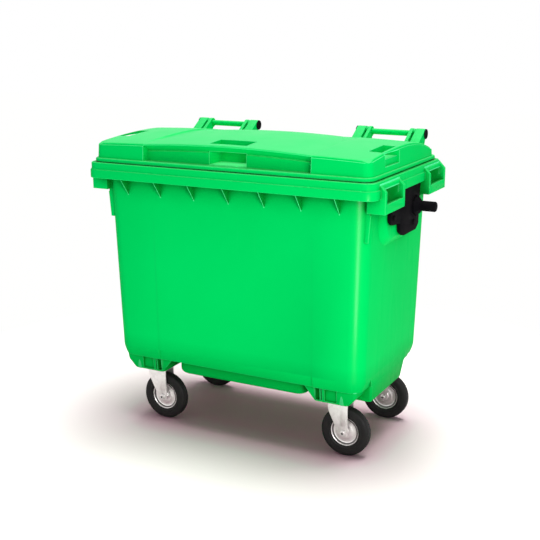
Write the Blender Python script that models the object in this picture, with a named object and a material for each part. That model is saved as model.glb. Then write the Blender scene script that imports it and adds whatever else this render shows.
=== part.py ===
# Four-wheeled plastic waste container with a flat hinged lid.
# Metres, +Z up, standing on z = 0. X runs along the width, and the front faces -Y.

import math

import bmesh
import bpy
from mathutils import Matrix, Vector

# Gap left between pieces that touch
CLEAR = 0.0003
# How far a cutter runs past the face it cuts, and how far a joined shape reaches into its carrier
OVERRUN = 0.010
BITE = 0.0012

# Overall sizes
RIM_HALF_X = 0.6150
RIM_FRONT_Y = -0.3885
RIM_BACK_Y = 0.3620
RIM_TOP_Z = 1.1157
HINGE_BACK_REACH = 0.0045
HINGE_Y = RIM_BACK_Y + HINGE_BACK_REACH
HINGE_RISE = 0.0920
HINGE_Z = RIM_TOP_Z + HINGE_RISE
TRUNNION_REACH = 0.0700
TRUNNION_TIP_X = RIM_HALF_X + TRUNNION_REACH

# Tub walls: the outer faces right under the rim, and how far each leans in at its foot
WALL_END_INSET = 0.0485
WALL_FRONT_INSET = 0.0610
WALL_BACK_INSET = 0.0205
WALL_HALF_X = RIM_HALF_X - WALL_END_INSET
WALL_FRONT_Y = RIM_FRONT_Y + WALL_FRONT_INSET
WALL_BACK_Y = RIM_BACK_Y - WALL_BACK_INSET
WALL_DRAFT = 0.0190
WALL_THICK = 0.0070
WALL_CORNER_R = 0.0600
FLOOR_Z = 0.3000
FOOT_RISE = 0.0350
FOOT_Z = FLOOR_Z + FOOT_RISE
FOOT_TURN_IN = 0.0120
FOOT_CORNER_R = 0.0500

# Rim: a hanging skirt on a flat web
RIM_DEPTH = 0.0621
RIM_BAND_DEPTH = 0.0299
RIM_BOTTOM_Z = RIM_TOP_Z - RIM_DEPTH
RIM_STEP_Z = RIM_TOP_Z - RIM_BAND_DEPTH
RIM_STEP = 0.0050
RIM_WEB = 0.0110
RIM_SKIRT = 0.0050
RIM_CORNER_R = 0.0450
RIM_EDGE_BEVEL = 0.0030

# Sunk panel in the front and the back wall
PANEL_END_INSET = 0.2195
PANEL_DROP = 0.1236
PANEL_HALF_X = WALL_HALF_X - PANEL_END_INSET
PANEL_TOP_Z = RIM_BOTTOM_Z - PANEL_DROP
PANEL_DEPTH = 0.0042

# Ribs under the rim
RIB_COUNT = 7
RIB_END_INSET = 0.1075
RIB_PITCH = (WALL_HALF_X - RIB_END_INSET) * 2 / (RIB_COUNT - 1)
RIB_THICK = 0.0030
RIB_DROP = 0.0686
BACK_RIB_DROP = 0.0336
RIB_FOOT_Z = RIM_BOTTOM_Z - RIB_DROP
BACK_RIB_FOOT_Z = RIM_BOTTOM_Z - BACK_RIB_DROP

# Upright fins that carry on the front and back walls past the corners
FIN_THICK = 0.0060
FIN_INSET_Y = 0.0250
FIN_TOP_REACH = 0.0145
FIN_FOOT_REACH = 0.0020
FIN_DROP = 0.1666
FIN_FOOT_Z = RIM_BOTTOM_Z - FIN_DROP

# Places of the four casters' swivel axes
CASTER_END_INSET = 0.1479
CASTER_FRONT_INSET = 0.1399
CASTER_BACK_INSET = 0.1015
CASTER_X = WALL_HALF_X - CASTER_END_INSET
FRONT_CASTER_Y = WALL_FRONT_Y + CASTER_FRONT_INSET
BACK_CASTER_Y = WALL_BACK_Y - CASTER_BACK_INSET

# Belly between the casters, and its arms out to the end walls
BELLY_DEPTH = 0.0670
BELLY_Z = FLOOR_Z - BELLY_DEPTH
BELLY_CASTER_GAP = 0.1286
BELLY_FRONT_INSET = 0.0775
BELLY_BACK_INSET = 0.0715
BELLY_HALF_X = CASTER_X - BELLY_CASTER_GAP
BELLY_FRONT_Y = WALL_FRONT_Y + BELLY_FRONT_INSET
BELLY_BACK_Y = WALL_BACK_Y - BELLY_BACK_INSET
BELLY_ROUND = 0.0240
BELLY_CORNER_R = 0.0300
ARM_FRONT_GAP = 0.0726
ARM_BACK_GAP = 0.0680
ARM_FOOT_LEAN = 0.0420
BELLY_ARM_FRONT_Y = FRONT_CASTER_Y + ARM_FRONT_GAP
BELLY_ARM_BACK_Y = BACK_CASTER_Y - ARM_BACK_GAP
BELLY_ARM_FOOT_BACK_Y = BELLY_ARM_BACK_Y - ARM_FOOT_LEAN
BELLY_ARM_ROUND = 0.0100
BELLY_END_FLARE = 0.0770
BELLY_END_WIDTH = 0.0965
BELLY_END_FRONT_Y = BELLY_ARM_FRONT_Y - BELLY_END_FLARE
BELLY_END_INNER_X = WALL_HALF_X - BELLY_END_WIDTH

# Caster pods at the four corners
POD_DROP = 0.0600
POD_SHOULDER_DROP = 0.0240
POD_Z = FLOOR_Z - POD_DROP
POD_SHOULDER_Z = FLOOR_Z - POD_SHOULDER_DROP
POD_INNER_REACH = 0.0736
POD_END_INSET = 0.0445
POD_FOOT_LEAN = 0.0330
POD_FRONT_INSET = 0.0395
POD_BACK_INSET = 0.0415
POD_INNER_X = CASTER_X - POD_INNER_REACH
POD_OUTER_X = WALL_HALF_X - POD_END_INSET
POD_FOOT_OUTER_X = POD_OUTER_X - POD_FOOT_LEAN
POD_DEPTH = 0.1650
FRONT_POD_Y = WALL_FRONT_Y + POD_FRONT_INSET
BACK_POD_Y = WALL_BACK_Y - POD_BACK_INSET
POD_FOOT_TUCK = 0.0060
POD_CORNER_R = 0.0120
POCKET_DEPTH = 0.0160
POCKET_WALL = 0.0070
POCKET_COUNT = 4

# Grip loops at the ends
GRIP_REACH = 0.0180
GRIP_DROP = 0.0546
GRIP_BAR_HEIGHT = 0.0350
GRIP_CHAMFER_DROP = 0.0357
GRIP_FRONT_INSET = 0.0654
GRIP_BACK_INSET = 0.0169
GRIP_LENGTH = 0.1980
GRIP_CHEEK = 0.0180
GRIP_BAR = 0.0160
GRIP_OUTER_X = RIM_HALF_X + GRIP_REACH
GRIP_BOTTOM_Z = RIM_BOTTOM_Z - GRIP_DROP
GRIP_BAR_TOP_Z = GRIP_BOTTOM_Z + GRIP_BAR_HEIGHT
GRIP_CHAMFER_Z = RIM_TOP_Z - GRIP_CHAMFER_DROP
FRONT_GRIP_Y = RIM_FRONT_Y + GRIP_FRONT_INSET
BACK_GRIP_Y = RIM_BACK_Y - GRIP_BACK_INSET - GRIP_LENGTH

# Lifting trunnions
TRUNNION_BACK_INSET = 0.2760
TRUNNION_DROP = 0.1507
TRUNNION_Y = RIM_BACK_Y - TRUNNION_BACK_INSET
TRUNNION_Z = RIM_TOP_Z - TRUNNION_DROP
TRUNNION_R = 0.0200
TRUNNION_PLATE = 0.0150
TRUNNION_CONE_R = 0.0360
TRUNNION_CONE = 0.0240
TRUNNION_BEVEL = 0.0040
TRUNNION_BOLT_R = 0.0060
TRUNNION_BOLT_HEAD_R = 0.0110
TRUNNION_BOLT_HEAD = 0.0060
TRUNNION_FOOT = 0.0620
BACKING_THICK = 0.0040
BACKING_MARGIN = 0.0160

# Raised seats behind the lifting trunnions
SEAT_STEP = 0.0185
SEAT_FRONT_REACH = 0.2660
LOBE_BOLT_INSET = 0.0310
SEAT_BACK_REACH = 0.1140
SEAT_TOP_DROP = 0.0158
SEAT_FOOT_DROP = 0.0950
TRUNNION_LOBE = SEAT_FRONT_REACH - LOBE_BOLT_INSET
SEAT_X = WALL_HALF_X + SEAT_STEP
SEAT_FRONT_Y = TRUNNION_Y - SEAT_FRONT_REACH
SEAT_BACK_Y = TRUNNION_Y + SEAT_BACK_REACH
SEAT_TOP_Z = RIM_STEP_Z - SEAT_TOP_DROP
SEAT_BOTTOM_Z = TRUNNION_Z - SEAT_FOOT_DROP
SEAT_CORNER_R = 0.0800
SEAT_SLOPE = 0.0080

# Lid
LID_GAP = 0.0033
FLANGE_END_INSET = 0.0180
FLANGE_FRONT_INSET = 0.0170
FLANGE_BACK_INSET = 0.0160
FLANGE_THICK = 0.0128
FLANGE_HALF_X = RIM_HALF_X - FLANGE_END_INSET
FLANGE_FRONT_Y = RIM_FRONT_Y + FLANGE_FRONT_INSET
FLANGE_BACK_Y = RIM_BACK_Y - FLANGE_BACK_INSET
FLANGE_TOP_Z = RIM_TOP_Z + LID_GAP + FLANGE_THICK
FLANGE_CORNER_R = 0.0420
FLANGE_SEAT = 0.0120
LID_END_INSET = 0.0080
LID_FRONT_INSET = 0.0125
LID_BACK_INSET = 0.0230
LID_HEIGHT = 0.0852
LID_HALF_X = FLANGE_HALF_X - LID_END_INSET
LID_FRONT_Y = FLANGE_FRONT_Y + LID_FRONT_INSET
LID_BACK_Y = FLANGE_BACK_Y - LID_BACK_INSET
LID_WALL_LEAN = 0.0060
LID_CORNER_R = 0.0320
LID_EDGE_R = 0.0080
LID_SHELL = 0.0055
LID_CROWN_Z = FLANGE_TOP_Z + LID_HEIGHT
LID_CROWN_Y = 0.0000
LID_FRONT_DROP = 0.0205
LID_BACK_DROP = 0.0540
LID_SIDE_DROP = 0.0070
PLATEAU_WIDTH = 0.2290
PLATEAU_INNER_X = LID_HALF_X - PLATEAU_WIDTH
PAD_LENGTH = 0.1630
PAD_FRONT_Y = LID_BACK_Y - PAD_LENGTH
PLATEAU_STEP = 0.0075
STEP_REACH = 0.1900
DOME_RISE = 0.0155
DOME_FRONT_RISE = 0.0120

# Hand recess under the front visor, and the grip slots
RECESS_DEPTH = 0.0390
RECESS_BACK_Y = LID_FRONT_Y + RECESS_DEPTH
VISOR_DROP = 0.0280
VISOR_LIP = 0.0040
FRONT_SLOT_HALF_X = 0.0800
FRONT_SLOT_DEPTH = 0.1240
FRONT_SLOT_BACK_Y = LID_FRONT_Y + FRONT_SLOT_DEPTH
FRONT_BAR = 0.0300
FRONT_SLOT_FLOOR = 0.0010
SIDE_SLOT_INSET_Y = 0.1410
SIDE_SLOT_LENGTH = 0.1460
SIDE_SLOT_DEPTH = 0.0660
SIDE_SLOT_FRONT_Y = LID_FRONT_Y + SIDE_SLOT_INSET_Y
SIDE_SLOT_BACK_Y = SIDE_SLOT_FRONT_Y + SIDE_SLOT_LENGTH
SIDE_SLOT_INNER_X = LID_HALF_X - SIDE_SLOT_DEPTH
SIDE_BAR = 0.0090
SIDE_BAR_DROP = 0.0115
SIDE_SLOT_FLOOR = 0.0450
SIDE_NICHE_FLOOR = 0.0197
SIDE_NICHE = 0.0110

# Hinges
HINGE_END_INSET = 0.0496
HINGE_SPAN = 0.3046
HINGE_OUTER_X = LID_HALF_X - HINGE_END_INSET
HINGE_INNER_X = HINGE_OUTER_X - HINGE_SPAN
HINGE_R = 0.0215
ARM_WIDTH = 0.0390
ARM_FOOT_REACH = 0.0610
ARM_FOOT_RISE = 0.0332
ARM_FOOT_Y = LID_BACK_Y - ARM_FOOT_REACH
ARM_FOOT_Z = FLANGE_TOP_Z + ARM_FOOT_RISE
ARM_TOP_DEGREES = 124.0
THIN_ARM = 0.0140
EAR_SLOT = 0.0110
EAR_RUN = 0.0010
EAR_R = 0.0195
HINGE_TUBE_R = 0.0120
HINGE_TUBE_BORE = 0.0085
HINGE_RUN = 0.0006
CAP_R = 0.0205
CAP_HEAD = 0.0040
CAP_STEM = 0.0220

# Casters
RUN = 0.0005
CASTER_TRAIL = 0.0240
WHEEL_R = 0.1000
TYRE_WIDTH = 0.0440
TREAD_ROUND = 0.0070
RIM_DISC_R = 0.0580
RIM_BAND = 0.0026
RIM_HALF_WIDTH = 0.0150
DISC_THICK = 0.0030
DISC_DISH = 0.0080
HUB_R = 0.0180
HUB_HALF_WIDTH = 0.0260
HUB_WALL = 0.0026
BEARING_WALL = 0.0030
SLEEVE_WALL = 0.0018
AXLE_R = 0.0060
FORK_INNER = 0.0285
FORK_SHEET = 0.0035
FORK_DROP = 0.0140
FORK_TOP_Z = POD_Z - FORK_DROP
FORK_CROWN_R = 0.0430
FORK_LEG_TOP = 0.0420
FORK_LEG_FOOT = 0.0200
FORK_SHOULDER_DROP = 0.0380
FORK_SHOULDER_Z = FORK_TOP_Z - FORK_SHOULDER_DROP
AXLE_HEAD_R = 0.0100
AXLE_HEAD = 0.0070
AXLE_WASHER_R = 0.0130
AXLE_WASHER = 0.0018
RACE_R = 0.0380
RACE_SECTION = 0.0070
PLATE_THICK = 0.0040
PLATE_X = 0.0900
PLATE_Y = 0.1050
PLATE_CORNER_R = 0.0080
PLATE_BOLT_X = 0.0320
PLATE_BOLT_Y = 0.0400
PLATE_BOLT_R = 0.0045
PLATE_BOLT_HEAD_R = 0.0085
PLATE_BOLT_HEAD = 0.0050
PLATE_BOLT_REACH = 0.0100
KING_PIN_R = 0.0080
KING_PIN_HEAD_R = 0.0130
KING_PIN_HEAD = 0.0050

# Drain in the belly floor
DRAIN_INSET_X = 0.1500
DRAIN_X = BELLY_HALF_X - DRAIN_INSET_X
DRAIN_Y = 0.0100
DRAIN_R = 0.0240
DRAIN_NECK_WALL = 0.0040
DRAIN_FLANGE_R = 0.0320
DRAIN_FLANGE = 0.0050
DRAIN_SEAL = 0.0020
DRAIN_GRIP = 0.0120

# Numbers of steps on round shapes
CORNER_STEPS = 5
PIN_SEGMENTS = 16
SMALL_SEGMENTS = 12
BOLT_SEGMENTS = 6
WHEEL_SEGMENTS = 24


def clear_scene():
    for thing in list(bpy.data.objects):
        bpy.data.objects.remove(thing, do_unlink=True)


def material(name, colour, roughness, metallic=0.0):
    made = bpy.data.materials.new(name)
    made.use_nodes = True
    shader = made.node_tree.nodes["Principled BSDF"]
    shader.inputs["Base Color"].default_value = (*colour, 1.0)
    shader.inputs["Roughness"].default_value = roughness
    shader.inputs["Metallic"].default_value = metallic
    made.diffuse_color = (*colour, 1.0)
    return made


def green_plastic(name):
    return material(name, (0.0, 0.62, 0.11), 0.42)


def black_plastic(name):
    return material(name, (0.012, 0.011, 0.012), 0.5)


def zinc_steel(name):
    return material(name, (0.66, 0.64, 0.64), 0.34, 1.0)


def rubber(name):
    return material(name, (0.018, 0.016, 0.015), 0.75)


def add_object(name, form, made):
    mesh = bpy.data.meshes.new(name)
    bmesh.ops.recalc_face_normals(form, faces=form.faces)
    form.to_mesh(mesh)
    form.free()
    thing = bpy.data.objects.new(name, mesh)
    thing.data.materials.append(made)
    bpy.context.scene.collection.objects.link(thing)
    return thing


def settle(thing):
    """Turns an object's modifiers into its plain mesh."""
    depsgraph = bpy.context.evaluated_depsgraph_get()
    mesh = bpy.data.meshes.new_from_object(thing.evaluated_get(depsgraph))
    thing.modifiers.clear()
    thing.data = mesh
    return thing


def combine(base, others, operation):
    """Joins or cuts helper objects into base and deletes them."""
    for other in others:
        step = base.modifiers.new(operation.title(), "BOOLEAN")
        step.operation = operation
        step.solver = "EXACT"
        step.object = other
    settle(base)
    for other in others:
        bpy.data.objects.remove(other, do_unlink=True)
    return base


def helper(form):
    """An object used only to join or cut another."""
    mesh = bpy.data.meshes.new("helper")
    bmesh.ops.recalc_face_normals(form, faces=form.faces)
    form.to_mesh(mesh)
    form.free()
    thing = bpy.data.objects.new("helper", mesh)
    bpy.context.scene.collection.objects.link(thing)
    thing.hide_render = True
    thing.display_type = "WIRE"
    return thing


def smooth(thing, degrees=35.0):
    thing.data.shade_smooth()
    thing.data.set_sharp_from_angle(angle=math.radians(degrees))
    return thing


def bevel(thing, width, segments=1):
    step = thing.modifiers.new("Bevel", "BEVEL")
    step.width = width
    step.segments = segments
    step.limit_method = "ANGLE"
    step.angle_limit = math.radians(40.0)
    return settle(thing)


def rounded_outline(x0, x1, y0, y1, radius, steps=CORNER_STEPS):
    """The points of a rectangle with round corners, counter-clockwise."""
    radius = min(radius, (x1 - x0) / 2, (y1 - y0) / 2)
    centres = ((x1 - radius, y1 - radius), (x0 + radius, y1 - radius),
               (x0 + radius, y0 + radius), (x1 - radius, y0 + radius))
    points = []
    for corner, (cx, cy) in enumerate(centres):
        for step in range(steps + 1):
            turn = math.radians(90.0) * (corner + step / steps)
            points.append((cx + radius * math.cos(turn), cy + radius * math.sin(turn)))
    return points


def loft(rings, form=None, closed=False):
    """Joins rings of equal point counts, with flat ends or end to start."""
    form = form or bmesh.new()
    rows = [[form.verts.new(point) for point in ring] for ring in rings]
    pairs = list(zip(rows, rows[1:]))
    if closed:
        pairs.append((rows[-1], rows[0]))
    for low, high in pairs:
        count = len(low)
        for index in range(count):
            after = (index + 1) % count
            form.faces.new((low[index], low[after], high[after], high[index]))
    if not closed:
        form.faces.new(list(reversed(rows[0])))
        form.faces.new(rows[-1])
    return form


def level_ring(outline, z):
    return [(x, y, z) for x, y in outline]


def prism(outline, axis, start, end, form=None):
    """An outline in the plane across an axis, drawn out along it."""
    places = {"x": lambda a, b, c: (c, a, b), "y": lambda a, b, c: (a, c, b),
              "z": lambda a, b, c: (a, b, c)}
    place = places[axis]
    ends = [[place(a, b, along) for a, b in outline] for along in (start, end)]
    return loft(ends, form)


def box(x0, x1, y0, y1, z0, z1, form=None):
    return prism([(x0, y0), (x1, y0), (x1, y1), (x0, y1)], "z", z0, z1, form)


def turned(profile, segments, form=None, axis="z", centre=(0.0, 0.0, 0.0)):
    """A closed profile of (radius, height) turned about an axis; radius zero closes at a pole."""
    form = form or bmesh.new()
    middle = Vector(centre)
    turn_to = {"x": Matrix.Rotation(math.radians(90.0), 3, "Y"),
               "y": Matrix.Rotation(math.radians(-90.0), 3, "X"),
               "z": Matrix.Identity(3)}[axis]
    rows = []
    for radius, height in profile:
        if radius == 0.0:
            rows.append([form.verts.new(turn_to @ Vector((0.0, 0.0, height)) + middle)])
            continue
        row = []
        for index in range(segments):
            angle = math.tau * index / segments
            point = Vector((radius * math.cos(angle), radius * math.sin(angle), height))
            row.append(form.verts.new(turn_to @ point + middle))
        rows.append(row)
    on_axis = len(rows[0]) == 1 and len(rows[-1]) == 1
    pairs = list(zip(rows, rows[1:]))
    if not on_axis:
        pairs.append((rows[-1], rows[0]))
    for low, high in pairs:
        for index in range(segments):
            after = (index + 1) % segments
            if len(low) == 1:
                form.faces.new((low[0], high[after], high[index]))
            elif len(high) == 1:
                form.faces.new((low[index], low[after], high[0]))
            else:
                form.faces.new((low[index], low[after], high[after], high[index]))
    return form


def disc_profile(radius, start, end):
    return [(0.0, start), (radius, start), (radius, end), (0.0, end)]


def tube_profile(inner, outer, start, end):
    return [(inner, start), (outer, start), (outer, end), (inner, end)]


def lean_at(z):
    """How far each wall's outer face stands inside its place under the rim."""
    return WALL_DRAFT * (RIM_TOP_Z - RIM_WEB - z) / (RIM_TOP_Z - RIM_WEB - FOOT_Z)


def wall_outline(inset, radius):
    return rounded_outline(-WALL_HALF_X + inset, WALL_HALF_X - inset,
                           WALL_FRONT_Y + inset, WALL_BACK_Y - inset, radius)


def rim_outline(inset):
    return rounded_outline(-RIM_HALF_X + inset, RIM_HALF_X - inset,
                           RIM_FRONT_Y + inset, RIM_BACK_Y - inset,
                           max(RIM_CORNER_R - inset, RIM_EDGE_BEVEL))


def tub_shell():
    """The walls, floor and rim skirt as one sweep from the floor outside to the floor inside."""
    web_z = RIM_TOP_Z - RIM_WEB
    upper = RIM_STEP
    mouth = WALL_THICK
    inner_r = WALL_CORNER_R - WALL_THICK
    foot = WALL_DRAFT + FOOT_TURN_IN
    rings = [
        level_ring(wall_outline(foot, FOOT_CORNER_R), FLOOR_Z),
        level_ring(wall_outline(WALL_DRAFT, WALL_CORNER_R), FOOT_Z),
        level_ring(wall_outline(0.0, WALL_CORNER_R), web_z),
        level_ring(rim_outline(RIM_STEP + RIM_SKIRT), web_z),
        level_ring(rim_outline(RIM_STEP + RIM_SKIRT), RIM_STEP_Z),
        level_ring(rim_outline(RIM_SKIRT), RIM_STEP_Z),
        level_ring(rim_outline(RIM_SKIRT), RIM_BOTTOM_Z),
        level_ring(rim_outline(0.0), RIM_BOTTOM_Z),
        level_ring(rim_outline(0.0), RIM_STEP_Z),
        level_ring(rim_outline(upper), RIM_STEP_Z + RIM_EDGE_BEVEL),
        level_ring(rim_outline(upper), RIM_TOP_Z - RIM_EDGE_BEVEL),
        level_ring(rim_outline(upper + RIM_EDGE_BEVEL), RIM_TOP_Z),
        level_ring(wall_outline(mouth, inner_r), RIM_TOP_Z),
        level_ring(wall_outline(WALL_DRAFT + mouth, inner_r), FOOT_Z),
        level_ring(wall_outline(foot + mouth, FOOT_CORNER_R - WALL_THICK), FLOOR_Z + WALL_THICK),
    ]
    return loft(rings)


def belly_rings(inset, top_z):
    """Rings of the belly block, from its top to its rounded bottom."""
    def ring(tuck, z):
        outline = rounded_outline(-BELLY_HALF_X + inset + tuck, BELLY_HALF_X - inset - tuck,
                                  BELLY_FRONT_Y + inset + tuck, BELLY_BACK_Y - inset - tuck, BELLY_CORNER_R)
        return level_ring(outline, z)
    round_steps = 3
    rings = [ring(0.0, top_z)]
    for step in range(round_steps + 1):
        turn = math.radians(90.0) * step / round_steps
        rings.append(ring(BELLY_ROUND * (1.0 - math.cos(turn)),
                          BELLY_Z + inset + BELLY_ROUND * (1.0 - math.sin(turn))))
    return rings


def arm_end_x():
    return WALL_HALF_X - WALL_DRAFT - BITE


def belly_arm_ring(inner_x, front_y, inset, top_z, side):
    """Rings of an arm of the belly that ends flush with an end wall, or with both at side zero."""
    end_x = arm_end_x()
    def ring(tuck, back_y, z):
        xs = (-end_x + inset + tuck, end_x - inset - tuck)
        if side:
            xs = sorted((side * (inner_x + inset), side * (end_x - inset - tuck)))
        outline = rounded_outline(*xs, front_y + inset + tuck, back_y - inset, BELLY_ARM_ROUND, 2)
        return level_ring(outline, z)
    low = BELLY_Z + inset
    share = (FLOOR_Z - BELLY_Z - BELLY_ARM_ROUND) / (FLOOR_Z - BELLY_Z)
    knee_y = BELLY_ARM_BACK_Y - (BELLY_ARM_BACK_Y - BELLY_ARM_FOOT_BACK_Y) * share
    return [ring(0.0, BELLY_ARM_BACK_Y, top_z), ring(0.0, BELLY_ARM_BACK_Y, FLOOR_Z),
            ring(BELLY_ARM_ROUND / 5, knee_y, low + BELLY_ARM_ROUND),
            ring(BELLY_ARM_ROUND, BELLY_ARM_FOOT_BACK_Y, low)]


def belly_arms(inset, top_z):
    """The cross arm between the casters and its wider ends at the end walls."""
    arms = [helper(loft(belly_arm_ring(0.0, BELLY_ARM_FRONT_Y, inset, top_z, 0)))]
    for side in (-1, 1):
        rings = belly_arm_ring(BELLY_END_INNER_X, BELLY_END_FRONT_Y, inset, top_z + inset, side)
        arms.append(helper(loft(rings)))
    return arms


def arm_aprons():
    """Strips that carry the end walls straight down onto the belly's arms."""
    form = bmesh.new()
    for side in (-1, 1):
        xs = sorted((side * (arm_end_x() - WALL_THICK - BITE / 2), side * arm_end_x()))
        outline = [(BELLY_END_FRONT_Y, FLOOR_Z), (BELLY_ARM_BACK_Y - BITE, FLOOR_Z),
                   (BELLY_ARM_BACK_Y + BELLY_ARM_ROUND, FOOT_Z + BITE),
                   (BELLY_END_FRONT_Y - BELLY_ARM_ROUND, FOOT_Z + BITE)]
        prism(outline, "x", *xs, form)
    return form


def pod_ranges():
    """The X and Y ranges of the four pods, with the sign of each end and side."""
    ranges = []
    for side in (-1, 1):
        for y_side, y_edge in ((-1, FRONT_POD_Y), (1, BACK_POD_Y)):
            ranges.append((side, y_side, y_edge))
    return ranges


def pod(side, y_side, y_edge):
    """A block that carries one caster, leaning in on its outer sides."""
    def ring(outer_x, tuck, z):
        xs = sorted((side * POD_INNER_X, side * outer_x))
        ys = sorted((y_edge - y_side * tuck, y_edge - y_side * POD_DEPTH))
        return level_ring(rounded_outline(*xs, *ys, POD_CORNER_R, 2), z)
    top_z = FLOOR_Z + WALL_THICK / 2
    shoulder_x = POD_OUTER_X - POD_FOOT_TUCK / 2
    return loft([ring(POD_FOOT_OUTER_X, POD_FOOT_TUCK, POD_Z),
                 ring(shoulder_x, POD_FOOT_TUCK / 2, POD_SHOULDER_Z),
                 ring(POD_OUTER_X, 0.0, top_z)])


def pod_pockets():
    """Upright pockets in the outer faces of the pods, which leave ribs between them."""
    form = bmesh.new()
    width = (POD_FOOT_OUTER_X - POD_INNER_X - POCKET_WALL * (POCKET_COUNT + 1)) / POCKET_COUNT
    for side, y_side, y_edge in pod_ranges():
        for index in range(POCKET_COUNT):
            start = POD_INNER_X + POCKET_WALL + index * (width + POCKET_WALL)
            xs = sorted((side * start, side * (start + width)))
            ys = sorted((y_edge + y_side * OVERRUN, y_edge - y_side * (POCKET_DEPTH + POD_FOOT_TUCK)))
            box(*xs, *ys, POD_Z + POCKET_WALL, FLOOR_Z - POCKET_WALL / 2, form)
    return form


def wall_rib(x, y_wall, y_skirt, foot_z, form):
    """A three-cornered rib between a wall and the skirt."""
    away = math.copysign(1.0, y_skirt)
    web_z = RIM_TOP_Z - RIM_WEB + BITE
    wall_top = y_wall - away * BITE
    wall_foot = y_wall - away * (lean_at(foot_z) + BITE)
    skirt = y_skirt + away * BITE
    outline = [(wall_top, web_z), (wall_foot, foot_z), (skirt, RIM_BOTTOM_Z + RIM_SKIRT), (skirt, web_z)]
    return prism(outline, "x", x - RIB_THICK / 2, x + RIB_THICK / 2, form)


def rim_ribs():
    form = bmesh.new()
    skirt_inset = RIM_STEP + RIM_SKIRT
    for rib in range(RIB_COUNT):
        x = (rib - (RIB_COUNT - 1) / 2) * RIB_PITCH
        wall_rib(x, WALL_FRONT_Y, RIM_FRONT_Y + skirt_inset, RIB_FOOT_Z, form)
        wall_rib(x, WALL_BACK_Y, RIM_BACK_Y - skirt_inset, BACK_RIB_FOOT_Z, form)
    return form


def corner_fins():
    """Thin plates that stand out beside the front corners, narrower towards the foot."""
    form = bmesh.new()
    root_x = WALL_HALF_X - WALL_CORNER_R / 3
    top_z = RIM_TOP_Z - RIM_WEB + BITE
    foot_x = WALL_HALF_X - lean_at(FIN_FOOT_Z) + FIN_FOOT_REACH
    outline = [(root_x, FIN_FOOT_Z), (foot_x, FIN_FOOT_Z), (WALL_HALF_X + FIN_TOP_REACH, top_z),
               (root_x, top_z)]
    near = WALL_FRONT_Y + FIN_INSET_Y
    for side in (-1, 1):
        prism([(side * x, z) for x, z in outline], "y", near, near + FIN_THICK, form)
    return form


def grip_ranges():
    return ((FRONT_GRIP_Y, FRONT_GRIP_Y + GRIP_LENGTH), (BACK_GRIP_Y, BACK_GRIP_Y + GRIP_LENGTH))


def grip_blocks():
    """Closed boxes under the rim ends, hollowed afterwards into loops."""
    form = bmesh.new()
    inner_x = WALL_HALF_X - WALL_THICK / 2
    top_z = RIM_TOP_Z - RIM_EDGE_BEVEL * 2
    outline = [(inner_x, GRIP_BOTTOM_Z), (GRIP_OUTER_X, GRIP_BOTTOM_Z), (GRIP_OUTER_X, GRIP_CHAMFER_Z),
               (RIM_HALF_X - RIM_STEP * 2, top_z), (inner_x, top_z)]
    for side in (-1, 1):
        for y0, y1 in grip_ranges():
            prism([(side * x, z) for x, z in outline], "y", y0, y1, form)
    return form


def grip_hollows():
    """The hand space of each loop: open downwards, and outwards above the bar."""
    form = bmesh.new()
    wall_x = WALL_HALF_X + GRIP_CHEEK / 6
    bar_x = GRIP_OUTER_X - GRIP_BAR
    roof_z = RIM_STEP_Z - RIM_EDGE_BEVEL
    outline = [(wall_x, GRIP_BOTTOM_Z - OVERRUN), (bar_x, GRIP_BOTTOM_Z - OVERRUN), (bar_x, GRIP_BAR_TOP_Z),
               (GRIP_OUTER_X + OVERRUN, GRIP_BAR_TOP_Z), (GRIP_OUTER_X + OVERRUN, roof_z), (wall_x, roof_z)]
    for side in (-1, 1):
        for y0, y1 in grip_ranges():
            prism([(side * x, z) for x, z in outline], "y", y0 + GRIP_CHEEK, y1 - GRIP_CHEEK, form)
    return form


def trunnion_seat(side):
    """A raised pad on the end wall, wide above and round below."""
    base = rounded_outline(SEAT_FRONT_Y, SEAT_BACK_Y, SEAT_BOTTOM_Z, SEAT_TOP_Z + SEAT_CORNER_R,
                           SEAT_CORNER_R)
    base = [(y, min(z, SEAT_TOP_Z)) for y, z in base]
    kept = []
    for point in base:
        if not kept or (Vector(point) - Vector(kept[-1])).length > RIM_EDGE_BEVEL / 3:
            kept.append(point)
    middle_y = (SEAT_FRONT_Y + SEAT_BACK_Y) / 2
    share = 1.0 + SEAT_SLOPE * 2 / (SEAT_BACK_Y - SEAT_FRONT_Y)
    wide = [(middle_y + (y - middle_y) * share, SEAT_TOP_Z - (SEAT_TOP_Z - z) * share)
            for y, z in kept]
    root = [(side * (WALL_HALF_X - lean_at(SEAT_BOTTOM_Z) - BITE), y, z) for y, z in wide]
    face = [(side * SEAT_X, y, z) for y, z in kept]
    return loft([root, face])


def seat_hollow(side):
    """The space behind a seat, open to the inside of the tub and narrower between the grips."""
    low, high = SEAT_BOTTOM_Z + WALL_THICK, SEAT_TOP_Z - WALL_THICK
    shoulder_z = GRIP_BOTTOM_Z - OVERRUN - WALL_THICK
    radius = SEAT_CORNER_R - WALL_THICK
    front, back = SEAT_FRONT_Y + WALL_THICK, SEAT_BACK_Y - WALL_THICK
    upper_front = FRONT_GRIP_Y + GRIP_LENGTH + WALL_THICK
    upper_back = BACK_GRIP_Y - WALL_THICK
    outline = [(upper_front, high), (upper_front, shoulder_z), (front, shoulder_z)]
    for step in range(CORNER_STEPS + 1):
        turn = math.radians(180.0 + 90.0 * step / CORNER_STEPS)
        outline.append((front + radius + radius * math.cos(turn), low + radius + radius * math.sin(turn)))
    for step in range(CORNER_STEPS + 1):
        turn = math.radians(270.0 + 90.0 * step / CORNER_STEPS)
        outline.append((back - radius + radius * math.cos(turn), low + radius + radius * math.sin(turn)))
    outline += [(back, shoulder_z), (upper_back, shoulder_z), (upper_back, high)]
    xs = sorted((side * (SEAT_X - WALL_THICK), side * (WALL_HALF_X - WALL_DRAFT - WALL_THICK)))
    return prism(outline, "x", *xs)


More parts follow.
